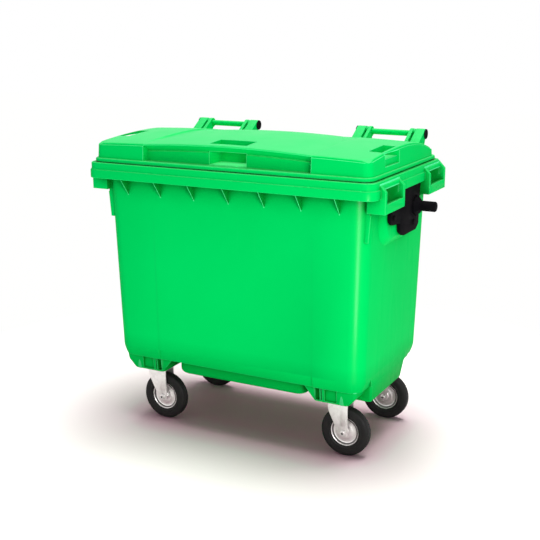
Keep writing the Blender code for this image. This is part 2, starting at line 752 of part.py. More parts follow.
def hinge_ear(side, x0, x1):
    """An upright ear of the tub, between a lid arm and its thin neighbour, for the hinge tube."""
    xs = sorted((side * x0, side * x1))
    back_y = RIM_BACK_Y - RIM_STEP
    root_z = RIM_TOP_Z - RIM_WEB / 2
    outline = [(RIM_BACK_Y - RIM_STEP * 5, root_z), (back_y, root_z), (back_y, RIM_TOP_Z),
               (HINGE_Y + EAR_R, HINGE_Z - EAR_R / 2)]
    steps = 8
    for step in range(steps + 1):
        turn = math.radians(-10.0 + 200.0 * step / steps)
        outline.append((HINGE_Y + EAR_R * math.cos(turn), HINGE_Z + EAR_R * math.sin(turn)))
    outline.append((RIM_BACK_Y - RIM_STEP * 3, HINGE_Z - EAR_R * 2))
    return prism(outline, "x", *xs)


def ear_slots():
    """The X ranges of the slots in one hinge's lid arms that take the tub's ears, inner and outer."""
    inner = HINGE_INNER_X + CAP_HEAD + ARM_WIDTH
    outer = HINGE_OUTER_X - CAP_HEAD - ARM_WIDTH
    return ((inner, inner + EAR_SLOT), (outer - EAR_SLOT, outer))


def panel_cut(y_wall, y_side):
    """A wedge that deepens downwards in the front or back wall."""
    def face(z):
        return y_wall - y_side * lean_at(z)
    low_z = FOOT_Z
    past = y_wall + y_side * OVERRUN
    deep = y_wall - y_side * (WALL_DRAFT + PANEL_DEPTH)
    bottom = deep - y_side * FOOT_TURN_IN
    outline = [(face(PANEL_TOP_Z), PANEL_TOP_Z), (deep, low_z), (bottom, FLOOR_Z),
               (bottom, FLOOR_Z - OVERRUN), (past, FLOOR_Z - OVERRUN), (past, PANEL_TOP_Z)]
    return prism(outline, "x", -PANEL_HALF_X, PANEL_HALF_X)


def trunnion_bolt_centres():
    """The Y and Z places of the two bolts that hold one trunnion, in its side lobe and its foot."""
    return ((TRUNNION_Y - TRUNNION_LOBE, TRUNNION_Z - TRUNNION_R / 2),
            (TRUNNION_Y - TRUNNION_R, TRUNNION_Z - TRUNNION_FOOT))


def build_tub():
    tub = add_object("tub", tub_shell(), green_plastic("tub plastic"))
    top_z = FLOOR_Z + WALL_THICK / 2
    joined = [helper(loft(belly_rings(0.0, top_z))), *belly_arms(0.0, top_z)]
    joined += [helper(pod(*place)) for place in pod_ranges()]
    joined += [helper(grip_blocks()), helper(trunnion_seat(-1)), helper(trunnion_seat(1)), helper(rim_ribs())]
    joined += [helper(corner_fins()), helper(arm_aprons())]
    for side in (-1, 1):
        joined += [helper(hinge_ear(side, x0 + EAR_RUN, x1 - EAR_RUN)) for x0, x1 in ear_slots()]
    combine(tub, joined, "UNION")
    hollow_top = FOOT_Z + WALL_THICK * 2
    cut = [helper(loft(belly_rings(WALL_THICK, hollow_top))), *belly_arms(WALL_THICK, hollow_top)]
    cut += [helper(grip_hollows()), helper(pod_pockets())]
    cut += [helper(panel_cut(WALL_FRONT_Y, -1)), helper(panel_cut(WALL_BACK_Y, 1))]
    for side in (-1, 1):
        for x0, x1 in ear_slots():
            middle = side * (x0 + x1) / 2
            bore = disc_profile(HINGE_TUBE_R + CLEAR, -EAR_SLOT, EAR_SLOT)
            cut.append(helper(turned(bore, PIN_SEGMENTS, axis="x", centre=(middle, HINGE_Y, HINGE_Z))))
    drain = disc_profile(DRAIN_R + CLEAR, -OVERRUN, OVERRUN)
    cut.append(helper(turned(drain, PIN_SEGMENTS, centre=(DRAIN_X, DRAIN_Y, BELLY_Z + WALL_THICK / 2))))
    for side in (-1, 1):
        cut += [helper(seat_hollow(side)), trunnion_bolt_holes(side)]
    for x, y in caster_places():
        for dx, dy in plate_bolts():
            hole = disc_profile(PLATE_BOLT_R + CLEAR, -OVERRUN, PLATE_BOLT_REACH + OVERRUN)
            cut.append(helper(turned(hole, BOLT_SEGMENTS, centre=(x + dx, y + dy, POD_Z))))
    combine(tub, cut, "DIFFERENCE")
    return smooth(tub)


def crown(y):
    """The height lost from the crown line towards the front and the back."""
    if y < LID_CROWN_Y:
        share = (LID_CROWN_Y - y) / (LID_CROWN_Y - LID_FRONT_Y)
        return LID_FRONT_DROP * share ** 2
    share = (y - LID_CROWN_Y) / (LID_BACK_Y - LID_CROWN_Y)
    return LID_BACK_DROP * share ** 2.1


def dome_offset(x, y):
    """How far the domed middle stands above or below the plateaus' level."""
    grown = min(max((y - LID_FRONT_Y) / STEP_REACH, 0.0), 1.0)
    rise = DOME_FRONT_RISE + (DOME_RISE - DOME_FRONT_RISE) * grown
    share = min(abs(x) / PLATEAU_INNER_X, 1.0)
    return rise * (1.0 - share ** 2) - PLATEAU_STEP * grown


def edge_distance(x, y, half_x, y0, y1, radius):
    """How far a point lies inside a rectangle with round corners."""
    middle_y = (y0 + y1) / 2
    over_x = abs(x) - (half_x - radius)
    over_y = abs(y - middle_y) - ((y1 - y0) / 2 - radius)
    outside = math.hypot(max(over_x, 0.0), max(over_y, 0.0))
    return radius - outside - min(max(over_x, over_y), 0.0)


def lid_height(x, y):
    """The top of the lid: two end plateaus with pads back to the hinges, and a domed middle between them."""
    side = max(abs(x) - PLATEAU_INNER_X, 0.0) / (LID_HALF_X - PLATEAU_INNER_X)
    raised = abs(x) > PLATEAU_INNER_X or (y > PAD_FRONT_Y and abs(x) > HINGE_INNER_X)
    if raised:
        top = LID_CROWN_Z - crown(y) - LID_SIDE_DROP * side ** 1.5
    else:
        top = LID_CROWN_Z - crown(y) + dome_offset(x, y)
    inside = edge_distance(x, y, LID_HALF_X - LID_WALL_LEAN, LID_FRONT_Y + LID_WALL_LEAN,
                           LID_BACK_Y - LID_WALL_LEAN, LID_CORNER_R)
    short = LID_EDGE_R - min(max(inside, 0.0), LID_EDGE_R)
    return top - LID_EDGE_R + math.sqrt(LID_EDGE_R ** 2 - short ** 2)


def split_line(place, step):
    """Two grid lines just either side of a step in the height."""
    return [place - step / 2, place + step / 2]


def lid_grid(inset, edge_lines):
    """Grid lines across and along the lid, closer at its rounded edge and at the plateau steps."""
    half_x = LID_HALF_X - LID_WALL_LEAN - inset
    y0 = LID_FRONT_Y + LID_WALL_LEAN + inset
    y1 = LID_BACK_Y - LID_WALL_LEAN - inset
    crease = RIM_EDGE_BEVEL / 2
    right = [HINGE_INNER_X / 3, HINGE_INNER_X * 2 / 3, *split_line(HINGE_INNER_X, crease)]
    right += [(HINGE_INNER_X + PLATEAU_INNER_X) / 2, *split_line(PLATEAU_INNER_X, crease)]
    right += [PLATEAU_INNER_X + (half_x - PLATEAU_INNER_X) * share for share in (0.4, 0.75)]
    right += [half_x - LID_EDGE_R * share for share in edge_lines] + [half_x + LID_WALL_LEAN * 2]
    xs = sorted([-x for x in right] + [0.0] + right)
    front = [y0 - LID_WALL_LEAN * 2] + [y0 + LID_EDGE_R * share for share in edge_lines]
    back = [y1 - LID_EDGE_R * share for share in edge_lines] + [y1 + LID_WALL_LEAN * 2]
    middle = [y0 + (PAD_FRONT_Y - y0) * share for share in (0.2, 0.4, 0.6, 0.8)]
    middle += split_line(PAD_FRONT_Y, crease)
    middle += [PAD_FRONT_Y + (y1 - PAD_FRONT_Y) * share for share in (0.35, 0.7)]
    return xs, sorted(front + middle + back)


def height_block(xs, ys, top, low_z):
    """A closed block over a grid, flat below, whose top follows a height rule."""
    form = bmesh.new()
    rows = [[form.verts.new((x, y, top(x, y))) for x in xs] for y in ys]
    for low, high in zip(rows, rows[1:]):
        for index in range(len(xs) - 1):
            form.faces.new((low[index], low[index + 1], high[index + 1], high[index]))
    edge = rows[0][:-1] + [row[-1] for row in rows[:-1]] + list(reversed(rows[-1]))[:-1]
    edge += [row[0] for row in reversed(rows)][:-1]
    foot = [form.verts.new((vert.co.x, vert.co.y, low_z)) for vert in edge]
    for index in range(len(edge)):
        after = (index + 1) % len(edge)
        form.faces.new((edge[after], edge[index], foot[index], foot[after]))
    form.faces.new(foot)
    return form


def lid_sides(inset, low_z):
    """The lid's upright sides with round corners, leaning in towards the top."""
    def ring(tuck, z):
        gap = inset + tuck
        outline = rounded_outline(-LID_HALF_X + gap, LID_HALF_X - gap, LID_FRONT_Y + gap, LID_BACK_Y - gap,
                                  max(LID_CORNER_R - inset, LID_EDGE_R), 4)
        return level_ring(outline, z)
    return loft([ring(0.0, low_z), ring(0.0, FLANGE_TOP_Z),
                 ring(LID_WALL_LEAN, LID_CROWN_Z + DOME_RISE + OVERRUN)])


def lid_body(inset, low_z, edge_lines):
    """The raised body of the lid, or the space under its shell when inset."""
    xs, ys = lid_grid(inset, edge_lines)
    def top(x, y):
        return lid_height(x, y) - inset
    body = helper(height_block(xs, ys, top, low_z - OVERRUN))
    return combine(body, [helper(lid_sides(inset, low_z))], "INTERSECT")


def lid_outer():
    """The outside of the lid as one solid block."""
    flange_z = RIM_TOP_Z + LID_GAP
    def flange(inset, z):
        outline = rounded_outline(-FLANGE_HALF_X + inset, FLANGE_HALF_X - inset, FLANGE_FRONT_Y + inset,
                                  FLANGE_BACK_Y - inset, FLANGE_CORNER_R)
        return level_ring(outline, z)
    step = RIM_EDGE_BEVEL
    plate = loft([flange(FLANGE_SEAT, RIM_TOP_Z + CLEAR), flange(FLANGE_SEAT, flange_z),
                  flange(0.0, flange_z), flange(0.0, FLANGE_TOP_Z - step), flange(step, FLANGE_TOP_Z)])
    lid = add_object("lid", plate, green_plastic("lid plastic"))
    return combine(lid, [lid_body(0.0, FLANGE_TOP_Z - step * 2, (0.0, 0.3, 1.0))], "UNION")


def hinge_arm(side, x0, x1):
    """A ramp that rises from the back of the lid and ends round about the hinge line."""
    xs = sorted((side * x0, side * x1))
    outline = [(ARM_FOOT_Y, ARM_FOOT_Z), (ARM_FOOT_Y, FLANGE_TOP_Z),
               (FLANGE_BACK_Y - LID_SHELL, FLANGE_TOP_Z - BITE), (HINGE_Y, HINGE_Z - HINGE_R)]
    steps = 8
    for step in range(steps + 1):
        turn = math.radians(-80.0 + (80.0 + ARM_TOP_DEGREES) * step / steps)
        outline.append((HINGE_Y + HINGE_R * math.cos(turn), HINGE_Z + HINGE_R * math.sin(turn)))
    return prism(outline, "x", *xs)


def arm_places():
    """The X ranges of the wide and the thin arms of one hinge."""
    (inner, inner_end), (outer_end, outer) = ear_slots()
    return ((inner - ARM_WIDTH, inner), (inner_end, inner_end + THIN_ARM), (outer_end - THIN_ARM, outer_end),
            (outer, outer + ARM_WIDTH))


def visor_edge_z(x):
    """The height of the lid's front edge, bowed up over the hand recess."""
    return LID_CROWN_Z - LID_FRONT_DROP + dome_offset(x, LID_FRONT_Y)


def recess_cut(margin):
    """The hand recess under the visor, in the middle of the lid's front."""
    past_y = FLANGE_FRONT_Y - OVERRUN
    past_z = LID_CROWN_Z + DOME_RISE + OVERRUN
    front = LID_FRONT_Y + LID_WALL_LEAN + margin
    back = RECESS_BACK_Y + margin
    low = FLANGE_TOP_Z - margin
    half_x = PLATEAU_INNER_X + margin
    rings = []
    steps = 8
    for step in range(steps + 1):
        x = half_x * (2.0 * step / steps - 1.0)
        edge_z = visor_edge_z(x)
        outline = [(past_y, past_z), (front, past_z), (front, edge_z - VISOR_LIP + margin),
                   (back, edge_z - VISOR_DROP + margin / 2),
                   (back - VISOR_LIP, edge_z - VISOR_DROP - VISOR_LIP), (back - VISOR_LIP, low),
                   (past_y, low)]
        rings.append([(x, y, z) for y, z in outline])
    return loft(rings)


def front_slot(margin):
    """The space behind the front grip bar, and the pocket below it."""
    bar_back = LID_FRONT_Y + LID_WALL_LEAN + FRONT_BAR
    past_y = LID_FRONT_Y - OVERRUN
    roof_z = visor_edge_z(FRONT_SLOT_HALF_X) - VISOR_DROP
    top_z = LID_CROWN_Z + DOME_RISE + OVERRUN
    low = FLANGE_TOP_Z + FRONT_SLOT_FLOOR - margin
    outline = [(past_y, low), (FRONT_SLOT_BACK_Y + margin, low), (FRONT_SLOT_BACK_Y + margin, top_z),
               (bar_back - margin, top_z), (bar_back - margin, roof_z + margin), (past_y, roof_z + margin)]
    return prism(outline, "x", -FRONT_SLOT_HALF_X - margin, FRONT_SLOT_HALF_X + margin)


def side_slot(side, margin):
    """The space behind one end's grip bar, with the shallow niche in the lid's side below it."""
    bar_back = LID_HALF_X - LID_WALL_LEAN - SIDE_BAR
    past_x = LID_HALF_X + OVERRUN
    roof_z = LID_CROWN_Z - LID_SIDE_DROP - SIDE_BAR_DROP
    low = FLANGE_TOP_Z + SIDE_SLOT_FLOOR - margin
    top_z = LID_CROWN_Z + OVERRUN
    niche_low = FLANGE_TOP_Z + SIDE_NICHE_FLOOR - margin
    niche_x = LID_HALF_X - SIDE_NICHE - margin
    outline = [(past_x, niche_low), (niche_x, niche_low), (niche_x, low),
               (SIDE_SLOT_INNER_X - margin, low), (SIDE_SLOT_INNER_X - margin, top_z),
               (bar_back + margin, top_z), (bar_back + margin, roof_z + margin), (past_x, roof_z + margin)]
    turned_out = [(side * x, z) for x, z in outline]
    return prism(turned_out, "y", SIDE_SLOT_FRONT_Y - margin, SIDE_SLOT_BACK_Y + margin)


def lid_hollow():
    """The space under the lid's shell, with the walls of the recess and the slots left standing."""
    hollow = lid_body(LID_SHELL, RIM_TOP_Z - OVERRUN, (0.0, 1.0))
    kept = [helper(recess_cut(LID_SHELL)), helper(front_slot(LID_SHELL)), helper(side_slot(-1, LID_SHELL)),
            helper(side_slot(1, LID_SHELL))]
    return combine(hollow, kept, "DIFFERENCE")


def ear_notch(side, x0, x1):
    """Room in the lid's back edge for one ear of the tub and its swing."""
    xs = sorted((side * (x0 - CLEAR), side * (x1 + CLEAR)))
    return box(*xs, LID_BACK_Y + BITE * 3, FLANGE_BACK_Y + OVERRUN, RIM_TOP_Z - OVERRUN, LID_CROWN_Z)


def hinge_bore(side):
    """The bore through all four lid arms of one hinge."""
    reach = (HINGE_OUTER_X - HINGE_INNER_X) / 2 + OVERRUN
    middle = (HINGE_OUTER_X + HINGE_INNER_X) / 2
    return turned(disc_profile(HINGE_TUBE_R + HINGE_RUN, -reach, reach), PIN_SEGMENTS, axis="x",
                  centre=(side * middle, HINGE_Y, HINGE_Z))


def build_lid():
    lid = lid_outer()
    arms = [helper(hinge_arm(side, *place)) for side in (-1, 1) for place in arm_places()]
    combine(lid, arms, "UNION")
    cut = [lid_hollow(), helper(recess_cut(0.0)), helper(front_slot(0.0)), helper(side_slot(-1, 0.0)),
           helper(side_slot(1, 0.0))]
    for side in (-1, 1):
        cut += [helper(ear_notch(side, *place)) for place in ear_slots()]
        cut.append(helper(hinge_bore(side)))
    combine(lid, cut, "DIFFERENCE")
    return smooth(lid)


def build_hinges():
    """Tubes with an end cap at each end; the caps' heads cover the outer faces of the wide lid arms."""
    names = {-1: "left", 1: "right"}
    for side in (-1, 1):
        low = HINGE_INNER_X + CAP_HEAD + CLEAR
        high = HINGE_OUTER_X - CAP_HEAD - CLEAR
        middle = side * (low + high) / 2
        half = (high - low) / 2
        tube = turned(tube_profile(HINGE_TUBE_BORE, HINGE_TUBE_R, -half, half), PIN_SEGMENTS, axis="x",
                      centre=(middle, HINGE_Y, HINGE_Z))
        colour = green_plastic(f"hinge tube plastic {names[side]}")
        smooth(add_object(f"hinge_tube_{names[side]}", tube, colour))
        for place, x, away in (("inner", HINGE_INNER_X, -1), ("outer", HINGE_OUTER_X, 1)):
            face = side * x
            outward = side * away
            stem = HINGE_TUBE_BORE - CLEAR
            under = CLEAR - CAP_HEAD
            profile = [(0.0, under - CAP_STEM), (stem, under - CAP_STEM), (stem, under), (CAP_R, under),
                       (CAP_R, 0.0), (CAP_R * 0.7, 0.0), (CAP_R * 0.6, under / 3), (0.0, under / 3)]
            profile = [(radius, height * outward) for radius, height in profile]
            cap = turned(profile, PIN_SEGMENTS, axis="x", centre=(face, HINGE_Y, HINGE_Z))
            name = f"hinge_cap_{names[side]}_{place}"
            smooth(add_object(name, cap, black_plastic(f"{name} plastic")))


def trunnion_outline():
    """The bracket's plate seen from the side, as Y and Z."""
    right = TRUNNION_Y + TRUNNION_CONE_R * 1.35
    lobe = SEAT_FRONT_Y + TRUNNION_BEVEL * 0.8
    left = lobe + TRUNNION_CONE_R * 2.7
    low = SEAT_BOTTOM_Z - CLEAR * 8
    waist = TRUNNION_Z + TRUNNION_CONE_R
    shoulder = waist - TRUNNION_R / 3
    return [(TRUNNION_Y - TRUNNION_CONE_R * 3.5, SEAT_TOP_Z), (BACK_GRIP_Y - RIM_EDGE_BEVEL, SEAT_TOP_Z),
            (right, waist), (right - TRUNNION_R / 4, low + TRUNNION_R), (right - TRUNNION_R * 1.6, low),
            (left + TRUNNION_R * 2.2, low), (left + TRUNNION_R * 0.4, low + TRUNNION_R),
            (left, low + TRUNNION_R * 2.8), (left - TRUNNION_CONE_R * 2, low + TRUNNION_R * 3),
            (lobe, low + TRUNNION_R * 3.8), (lobe, low + TRUNNION_R * 5.4),
            (left - TRUNNION_CONE_R * 1.9, shoulder), (left + TRUNNION_CONE_R * 0.8, shoulder),
            (left + TRUNNION_CONE_R * 1.4, waist + TRUNNION_R / 2)]


def build_trunnions():
    names = {-1: "left", 1: "right"}
    back_x = SEAT_X + CLEAR
    for side in (-1, 1):
        face_x = back_x + TRUNNION_PLATE
        xs = sorted((side * back_x, side * face_x))
        made = add_object(f"trunnion_{names[side]}", prism(trunnion_outline(), "x", *xs),
                          black_plastic(f"trunnion {names[side]} plastic"))
        bevel(made, TRUNNION_BEVEL)
        cone_end = face_x + TRUNNION_CONE
        tip = TRUNNION_TIP_X
        profile = [(0.0, back_x + TRUNNION_PLATE / 2), (TRUNNION_CONE_R, back_x + TRUNNION_PLATE / 2),
                   (TRUNNION_CONE_R, face_x), (TRUNNION_R, cone_end), (TRUNNION_R, tip - TRUNNION_BEVEL),
                   (TRUNNION_R - TRUNNION_BEVEL, tip), (0.0, tip)]
        pin = turned([(radius, side * height) for radius, height in profile], PIN_SEGMENTS + 4, axis="x",
                     centre=(0.0, TRUNNION_Y, TRUNNION_Z))
        combine(made, [helper(pin)], "UNION")
        combine(made, [trunnion_bolt_holes(side)], "DIFFERENCE")
        smooth(made)
        build_backing(side, names[side])
        build_trunnion_bolts(side, names[side], face_x)


def trunnion_bolt_holes(side):
    """Clearance holes on the lines of one trunnion's bolts, from outside to inside the tub."""
    form = bmesh.new()
    xs = (side * (SEAT_X - WALL_THICK - BACKING_THICK - OVERRUN), side * (SEAT_X + TRUNNION_PLATE + OVERRUN))
    for y, z in trunnion_bolt_centres():
        turned(disc_profile(TRUNNION_BOLT_R + CLEAR, *xs), BOLT_SEGMENTS, form, axis="x", centre=(0.0, y, z))
    return helper(form)


def build_backing(side, name):
    """A steel strip in the seat's hollow that carries both bolts, with a welded nut at each."""
    first, last = [Vector(place) for place in trunnion_bolt_centres()]
    along = (last - first).normalized() * BACKING_MARGIN
    across = Vector((-along.y, along.x))
    outline = [first - along - across, last + along - across, last + along + across, first - along + across]
    face = SEAT_X - WALL_THICK - CLEAR
    xs = sorted((side * face, side * (face - BACKING_THICK)))
    strip = add_object(f"trunnion_backing_{name}", prism([tuple(point) for point in outline], "x", *xs),
                       zinc_steel(f"backing {name} zinc"))
    nuts = bmesh.new()
    for y, z in trunnion_bolt_centres():
        ends = (side * (face - BACKING_THICK - TRUNNION_BOLT_HEAD), side * (face - BACKING_THICK / 2))
        turned(disc_profile(TRUNNION_BOLT_HEAD_R, *ends), BOLT_SEGMENTS, nuts, axis="x", centre=(0.0, y, z))
    combine(strip, [helper(nuts)], "UNION")
    combine(strip, [trunnion_bolt_holes(side)], "DIFFERENCE")


def build_trunnion_bolts(side, name, face_x):
    """The two bolts through a trunnion's plate, the seat and the strip behind it."""
    for place, (y, z) in zip(("lobe", "foot"), trunnion_bolt_centres()):
        under = face_x + CLEAR
        end = SEAT_X - WALL_THICK - BACKING_THICK - TRUNNION_BOLT_HEAD
        profile = [(0.0, end), (TRUNNION_BOLT_R, end), (TRUNNION_BOLT_R, under),
                   (TRUNNION_BOLT_HEAD_R, under), (TRUNNION_BOLT_HEAD_R, under + TRUNNION_BOLT_HEAD),
                   (0.0, under + TRUNNION_BOLT_HEAD)]
        bolt = turned([(radius, side * height) for radius, height in profile], BOLT_SEGMENTS, axis="x",
                      centre=(0.0, y, z))
        add_object(f"trunnion_bolt_{name}_{place}", bolt, black_plastic(f"bolt {name} {place} black"))


def caster_places():
    return [(side * CASTER_X, y) for y in (FRONT_CASTER_Y, BACK_CASTER_Y) for side in (-1, 1)]


def plate_bolts():
    return [(sx * PLATE_BOLT_X, sy * PLATE_BOLT_Y) for sx in (-1, 1) for sy in (-1, 1)]


def corner_names():
    return ("front_left", "front_right", "rear_left", "rear_right")


def build_plate(name, x, y):
    """The fixed plate under a pod with its four bolts, and the king pin's hole."""
    top = POD_Z - CLEAR
    under = top - PLATE_THICK
    outline = rounded_outline(x - PLATE_X / 2, x + PLATE_X / 2, y - PLATE_Y / 2, y + PLATE_Y / 2,
                              PLATE_CORNER_R, 2)
    plate = add_object(f"{name}_plate", prism(outline, "z", under, top), zinc_steel(f"{name} plate zinc"))
    form = bmesh.new()
    for dx, dy in plate_bolts():
        profile = [(0.0, under - PLATE_BOLT_HEAD), (PLATE_BOLT_HEAD_R, under - PLATE_BOLT_HEAD),
                   (PLATE_BOLT_HEAD_R, under + PLATE_THICK / 2), (PLATE_BOLT_R, under + PLATE_THICK / 2),
                   (PLATE_BOLT_R, POD_Z + PLATE_BOLT_REACH), (0.0, POD_Z + PLATE_BOLT_REACH)]
        turned(profile, BOLT_SEGMENTS, form, centre=(x + dx, y + dy, 0.0))
    combine(plate, [helper(form)], "UNION")
    hole = disc_profile(KING_PIN_R + CLEAR, -OVERRUN, OVERRUN)
    combine(plate, [helper(turned(hole, SMALL_SEGMENTS, centre=(x, y, top)))], "DIFFERENCE")


def build_race(name, x, y):
    """The ball race ring between the plate and the fork."""
    low = FORK_TOP_Z + CLEAR
    high = POD_Z - CLEAR - PLATE_THICK - CLEAR
    inner = RACE_R - RACE_SECTION
    edge = RACE_R - RACE_SECTION / 3
    profile = [(inner, low), (edge, low), (RACE_R, (low + high) / 2), (edge, high), (inner, high)]
    race = turned(profile, PIN_SEGMENTS, centre=(x, y, 0.0))
    smooth(add_object(f"{name}_ball_race", race, zinc_steel(f"{name} race steel")))


def build_king_pin(name, x, y):
    """The rivet on the swivel axis, headed under the fork's crown."""
    foot = FORK_TOP_Z - FORK_SHEET - CLEAR
    top = POD_Z - CLEAR * 2
    profile = [(0.0, foot - KING_PIN_HEAD), (KING_PIN_HEAD_R * 0.6, foot - KING_PIN_HEAD),
               (KING_PIN_HEAD_R, foot), (KING_PIN_R, foot), (KING_PIN_R, top), (0.0, top)]
    pin = turned(profile, SMALL_SEGMENTS, centre=(x, y, 0.0))
    smooth(add_object(f"{name}_king_pin", pin, zinc_steel(f"{name} pin steel")))


def fork_leg(x, y, side, form_list):
    """One pressed leg, wide at the crown and narrow at the axle."""
    axle_x = x + CASTER_TRAIL
    ys = sorted((y + side * FORK_INNER, y + side * (FORK_INNER + FORK_SHEET)))
    outline = [(x - FORK_LEG_TOP, FORK_TOP_Z), (x - FORK_LEG_TOP, FORK_SHOULDER_Z)]
    steps = 4
    for step in range(steps + 1):
        turn = math.radians(190.0 + 160.0 * step / steps)
        outline.append((axle_x + FORK_LEG_FOOT * math.cos(turn), WHEEL_R + FORK_LEG_FOOT * math.sin(turn)))
    outline += [(x + FORK_LEG_TOP, FORK_SHOULDER_Z), (x + FORK_LEG_TOP, FORK_TOP_Z)]
    form_list.append(helper(prism(outline, "y", *ys)))


def build_fork(name, x, y):
    """The crown and two legs of one pressed sheet, turned about the swivel axis."""
    reach = FORK_INNER + FORK_SHEET
    crown_outline = rounded_outline(x - FORK_LEG_TOP, x + FORK_LEG_TOP, y - reach, y + reach, FORK_SHEET, 1)
    fork = add_object(f"{name}_fork", prism(crown_outline, "z", FORK_TOP_Z - FORK_SHEET, FORK_TOP_Z),
                      zinc_steel(f"{name} fork zinc"))
    crown_disc = disc_profile(FORK_CROWN_R, FORK_TOP_Z - FORK_SHEET, FORK_TOP_Z)
    round_crown = helper(turned(crown_disc, PIN_SEGMENTS, centre=(x, y, 0.0)))
    legs = [round_crown]
    for side in (-1, 1):
        fork_leg(x, y, side, legs)
    combine(fork, legs, "UNION")
    swivel = disc_profile(KING_PIN_R + RUN, -OVERRUN, OVERRUN)
    holes = [helper(turned(swivel, SMALL_SEGMENTS, centre=(x, y, FORK_TOP_Z)))]
    axle = disc_profile(AXLE_R + CLEAR, -reach * 2, reach * 2)
    holes.append(helper(turned(axle, SMALL_SEGMENTS, axis="y", centre=(x + CASTER_TRAIL, y, WHEEL_R))))
    combine(fork, holes, "DIFFERENCE")


def build_axle(name, x, y):
    """The bolt with its washer head, its nut on the far side, and the sleeve between the legs."""
    centre = (x + CASTER_TRAIL, y, WHEEL_R)
    face = FORK_INNER + FORK_SHEET + CLEAR
    head_end = face + AXLE_WASHER + AXLE_HEAD
    profile = [(0.0, -head_end), (AXLE_HEAD_R, -head_end), (AXLE_HEAD_R, -face - AXLE_WASHER),
               (AXLE_WASHER_R, -face - AXLE_WASHER), (AXLE_WASHER_R, -face), (AXLE_R, -face),
               (AXLE_R, head_end), (0.0, head_end)]
    bolt = turned(profile, SMALL_SEGMENTS, axis="y", centre=centre)
    smooth(add_object(f"{name}_axle_bolt", bolt, zinc_steel(f"{name} bolt steel")))
    nut = turned(tube_profile(AXLE_R + CLEAR, AXLE_HEAD_R, face, face + AXLE_HEAD), SMALL_SEGMENTS, axis="y",
                 centre=centre)
    add_object(f"{name}_axle_nut", nut, zinc_steel(f"{name} nut steel"))
    bore = AXLE_R + CLEAR
    half = FORK_INNER - CLEAR
    sleeve = turned(tube_profile(bore, bore + SLEEVE_WALL, -half, half), PIN_SEGMENTS, axis="y",
                    centre=centre)
    smooth(add_object(f"{name}_axle_sleeve", sleeve, zinc_steel(f"{name} sleeve steel")))


def build_wheel(name, x, y):
    """The bearing, the pressed rim and the tyre, all turned about the axle."""
    centre = (x + CASTER_TRAIL, y, WHEEL_R)
    bearing_in = AXLE_R + CLEAR + SLEEVE_WALL + RUN
    bearing_out = bearing_in + BEARING_WALL
    width = HUB_HALF_WIDTH - CLEAR
    bearing = turned(tube_profile(bearing_in, bearing_out, -width, width), PIN_SEGMENTS, axis="y",
                     centre=centre)
    smooth(add_object(f"{name}_bearing", bearing, black_plastic(f"{name} bearing plastic")))
    hub_in = bearing_out + CLEAR * 2
    half = RIM_HALF_WIDTH
    neck = hub_in + HUB_WALL
    dish = DISC_DISH + DISC_THICK
    valley = RIM_DISC_R - RIM_BAND * 3
    side = [(neck, -HUB_HALF_WIDTH), (neck, -dish), (HUB_R, -dish), (valley, -DISC_THICK),
            (RIM_DISC_R - RIM_BAND, -half), (RIM_DISC_R, -half)]
    profile = [(hub_in, -HUB_HALF_WIDTH)] + side
    profile += [(radius, -height) for radius, height in reversed(side)] + [(hub_in, HUB_HALF_WIDTH)]
    rim = turned(profile, WHEEL_SEGMENTS, axis="y", centre=centre)
    smooth(add_object(f"{name}_wheel_rim", rim, zinc_steel(f"{name} rim zinc")))
    edge = TYRE_WIDTH / 2
    tread = TREAD_ROUND
    inner = RIM_DISC_R + CLEAR
    side = [(inner, -half), (inner + tread, -edge), (WHEEL_R - tread, -edge), (WHEEL_R, -edge + tread)]
    profile = side + [(radius, -height) for radius, height in reversed(side)]
    tyre = turned(profile, WHEEL_SEGMENTS, axis="y", centre=centre)
    smooth(add_object(f"{name}_tyre", tyre, rubber(f"{name} rubber")))


def build_casters():
    for corner, (x, y) in zip(corner_names(), caster_places()):
        name = f"caster_{corner}"
        build_plate(name, x, y)
        build_race(name, x, y)
        build_king_pin(name, x, y)
        build_fork(name, x, y)
        build_axle(name, x, y)
        build_wheel(name, x, y)


def build_drain():
    """The plug in the belly floor and the seal under its flange."""
    face = BELLY_Z - CLEAR
    seal = tube_profile(DRAIN_R + CLEAR, DRAIN_FLANGE_R, face - DRAIN_SEAL, face)
    centre = (DRAIN_X, DRAIN_Y, 0.0)
    smooth(add_object("drain_seal", turned(seal, PIN_SEGMENTS, centre=centre), rubber("drain seal rubber")))
    flange_top = face - DRAIN_SEAL - CLEAR
    neck_top = BELLY_Z + WALL_THICK + DRAIN_FLANGE
    bore = DRAIN_R - DRAIN_NECK_WALL
    flange_low = flange_top - DRAIN_FLANGE
    profile = [(0.0, flange_low), (DRAIN_FLANGE_R, flange_low), (DRAIN_FLANGE_R, flange_top),
               (DRAIN_R, flange_top), (DRAIN_R, neck_top), (bore, neck_top), (bore, flange_top),
               (0.0, flange_top)]
    turned_plug = turned(profile, PIN_SEGMENTS, centre=centre)
    plug = add_object("drain_plug", turned_plug, black_plastic("drain plastic"))
    low = flange_low - DRAIN_GRIP
    grip = box(DRAIN_X - bore, DRAIN_X + bore, DRAIN_Y - DRAIN_NECK_WALL, DRAIN_Y + DRAIN_NECK_WALL, low,
               flange_top - DRAIN_FLANGE / 2)
    combine(plug, [helper(grip)], "UNION")
    smooth(plug)


clear_scene()
build_tub()
build_lid()
build_hinges()
build_trunnions()
build_casters()
build_drain()
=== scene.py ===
import math

import bmesh
import bpy
from mathutils import Matrix, Vector


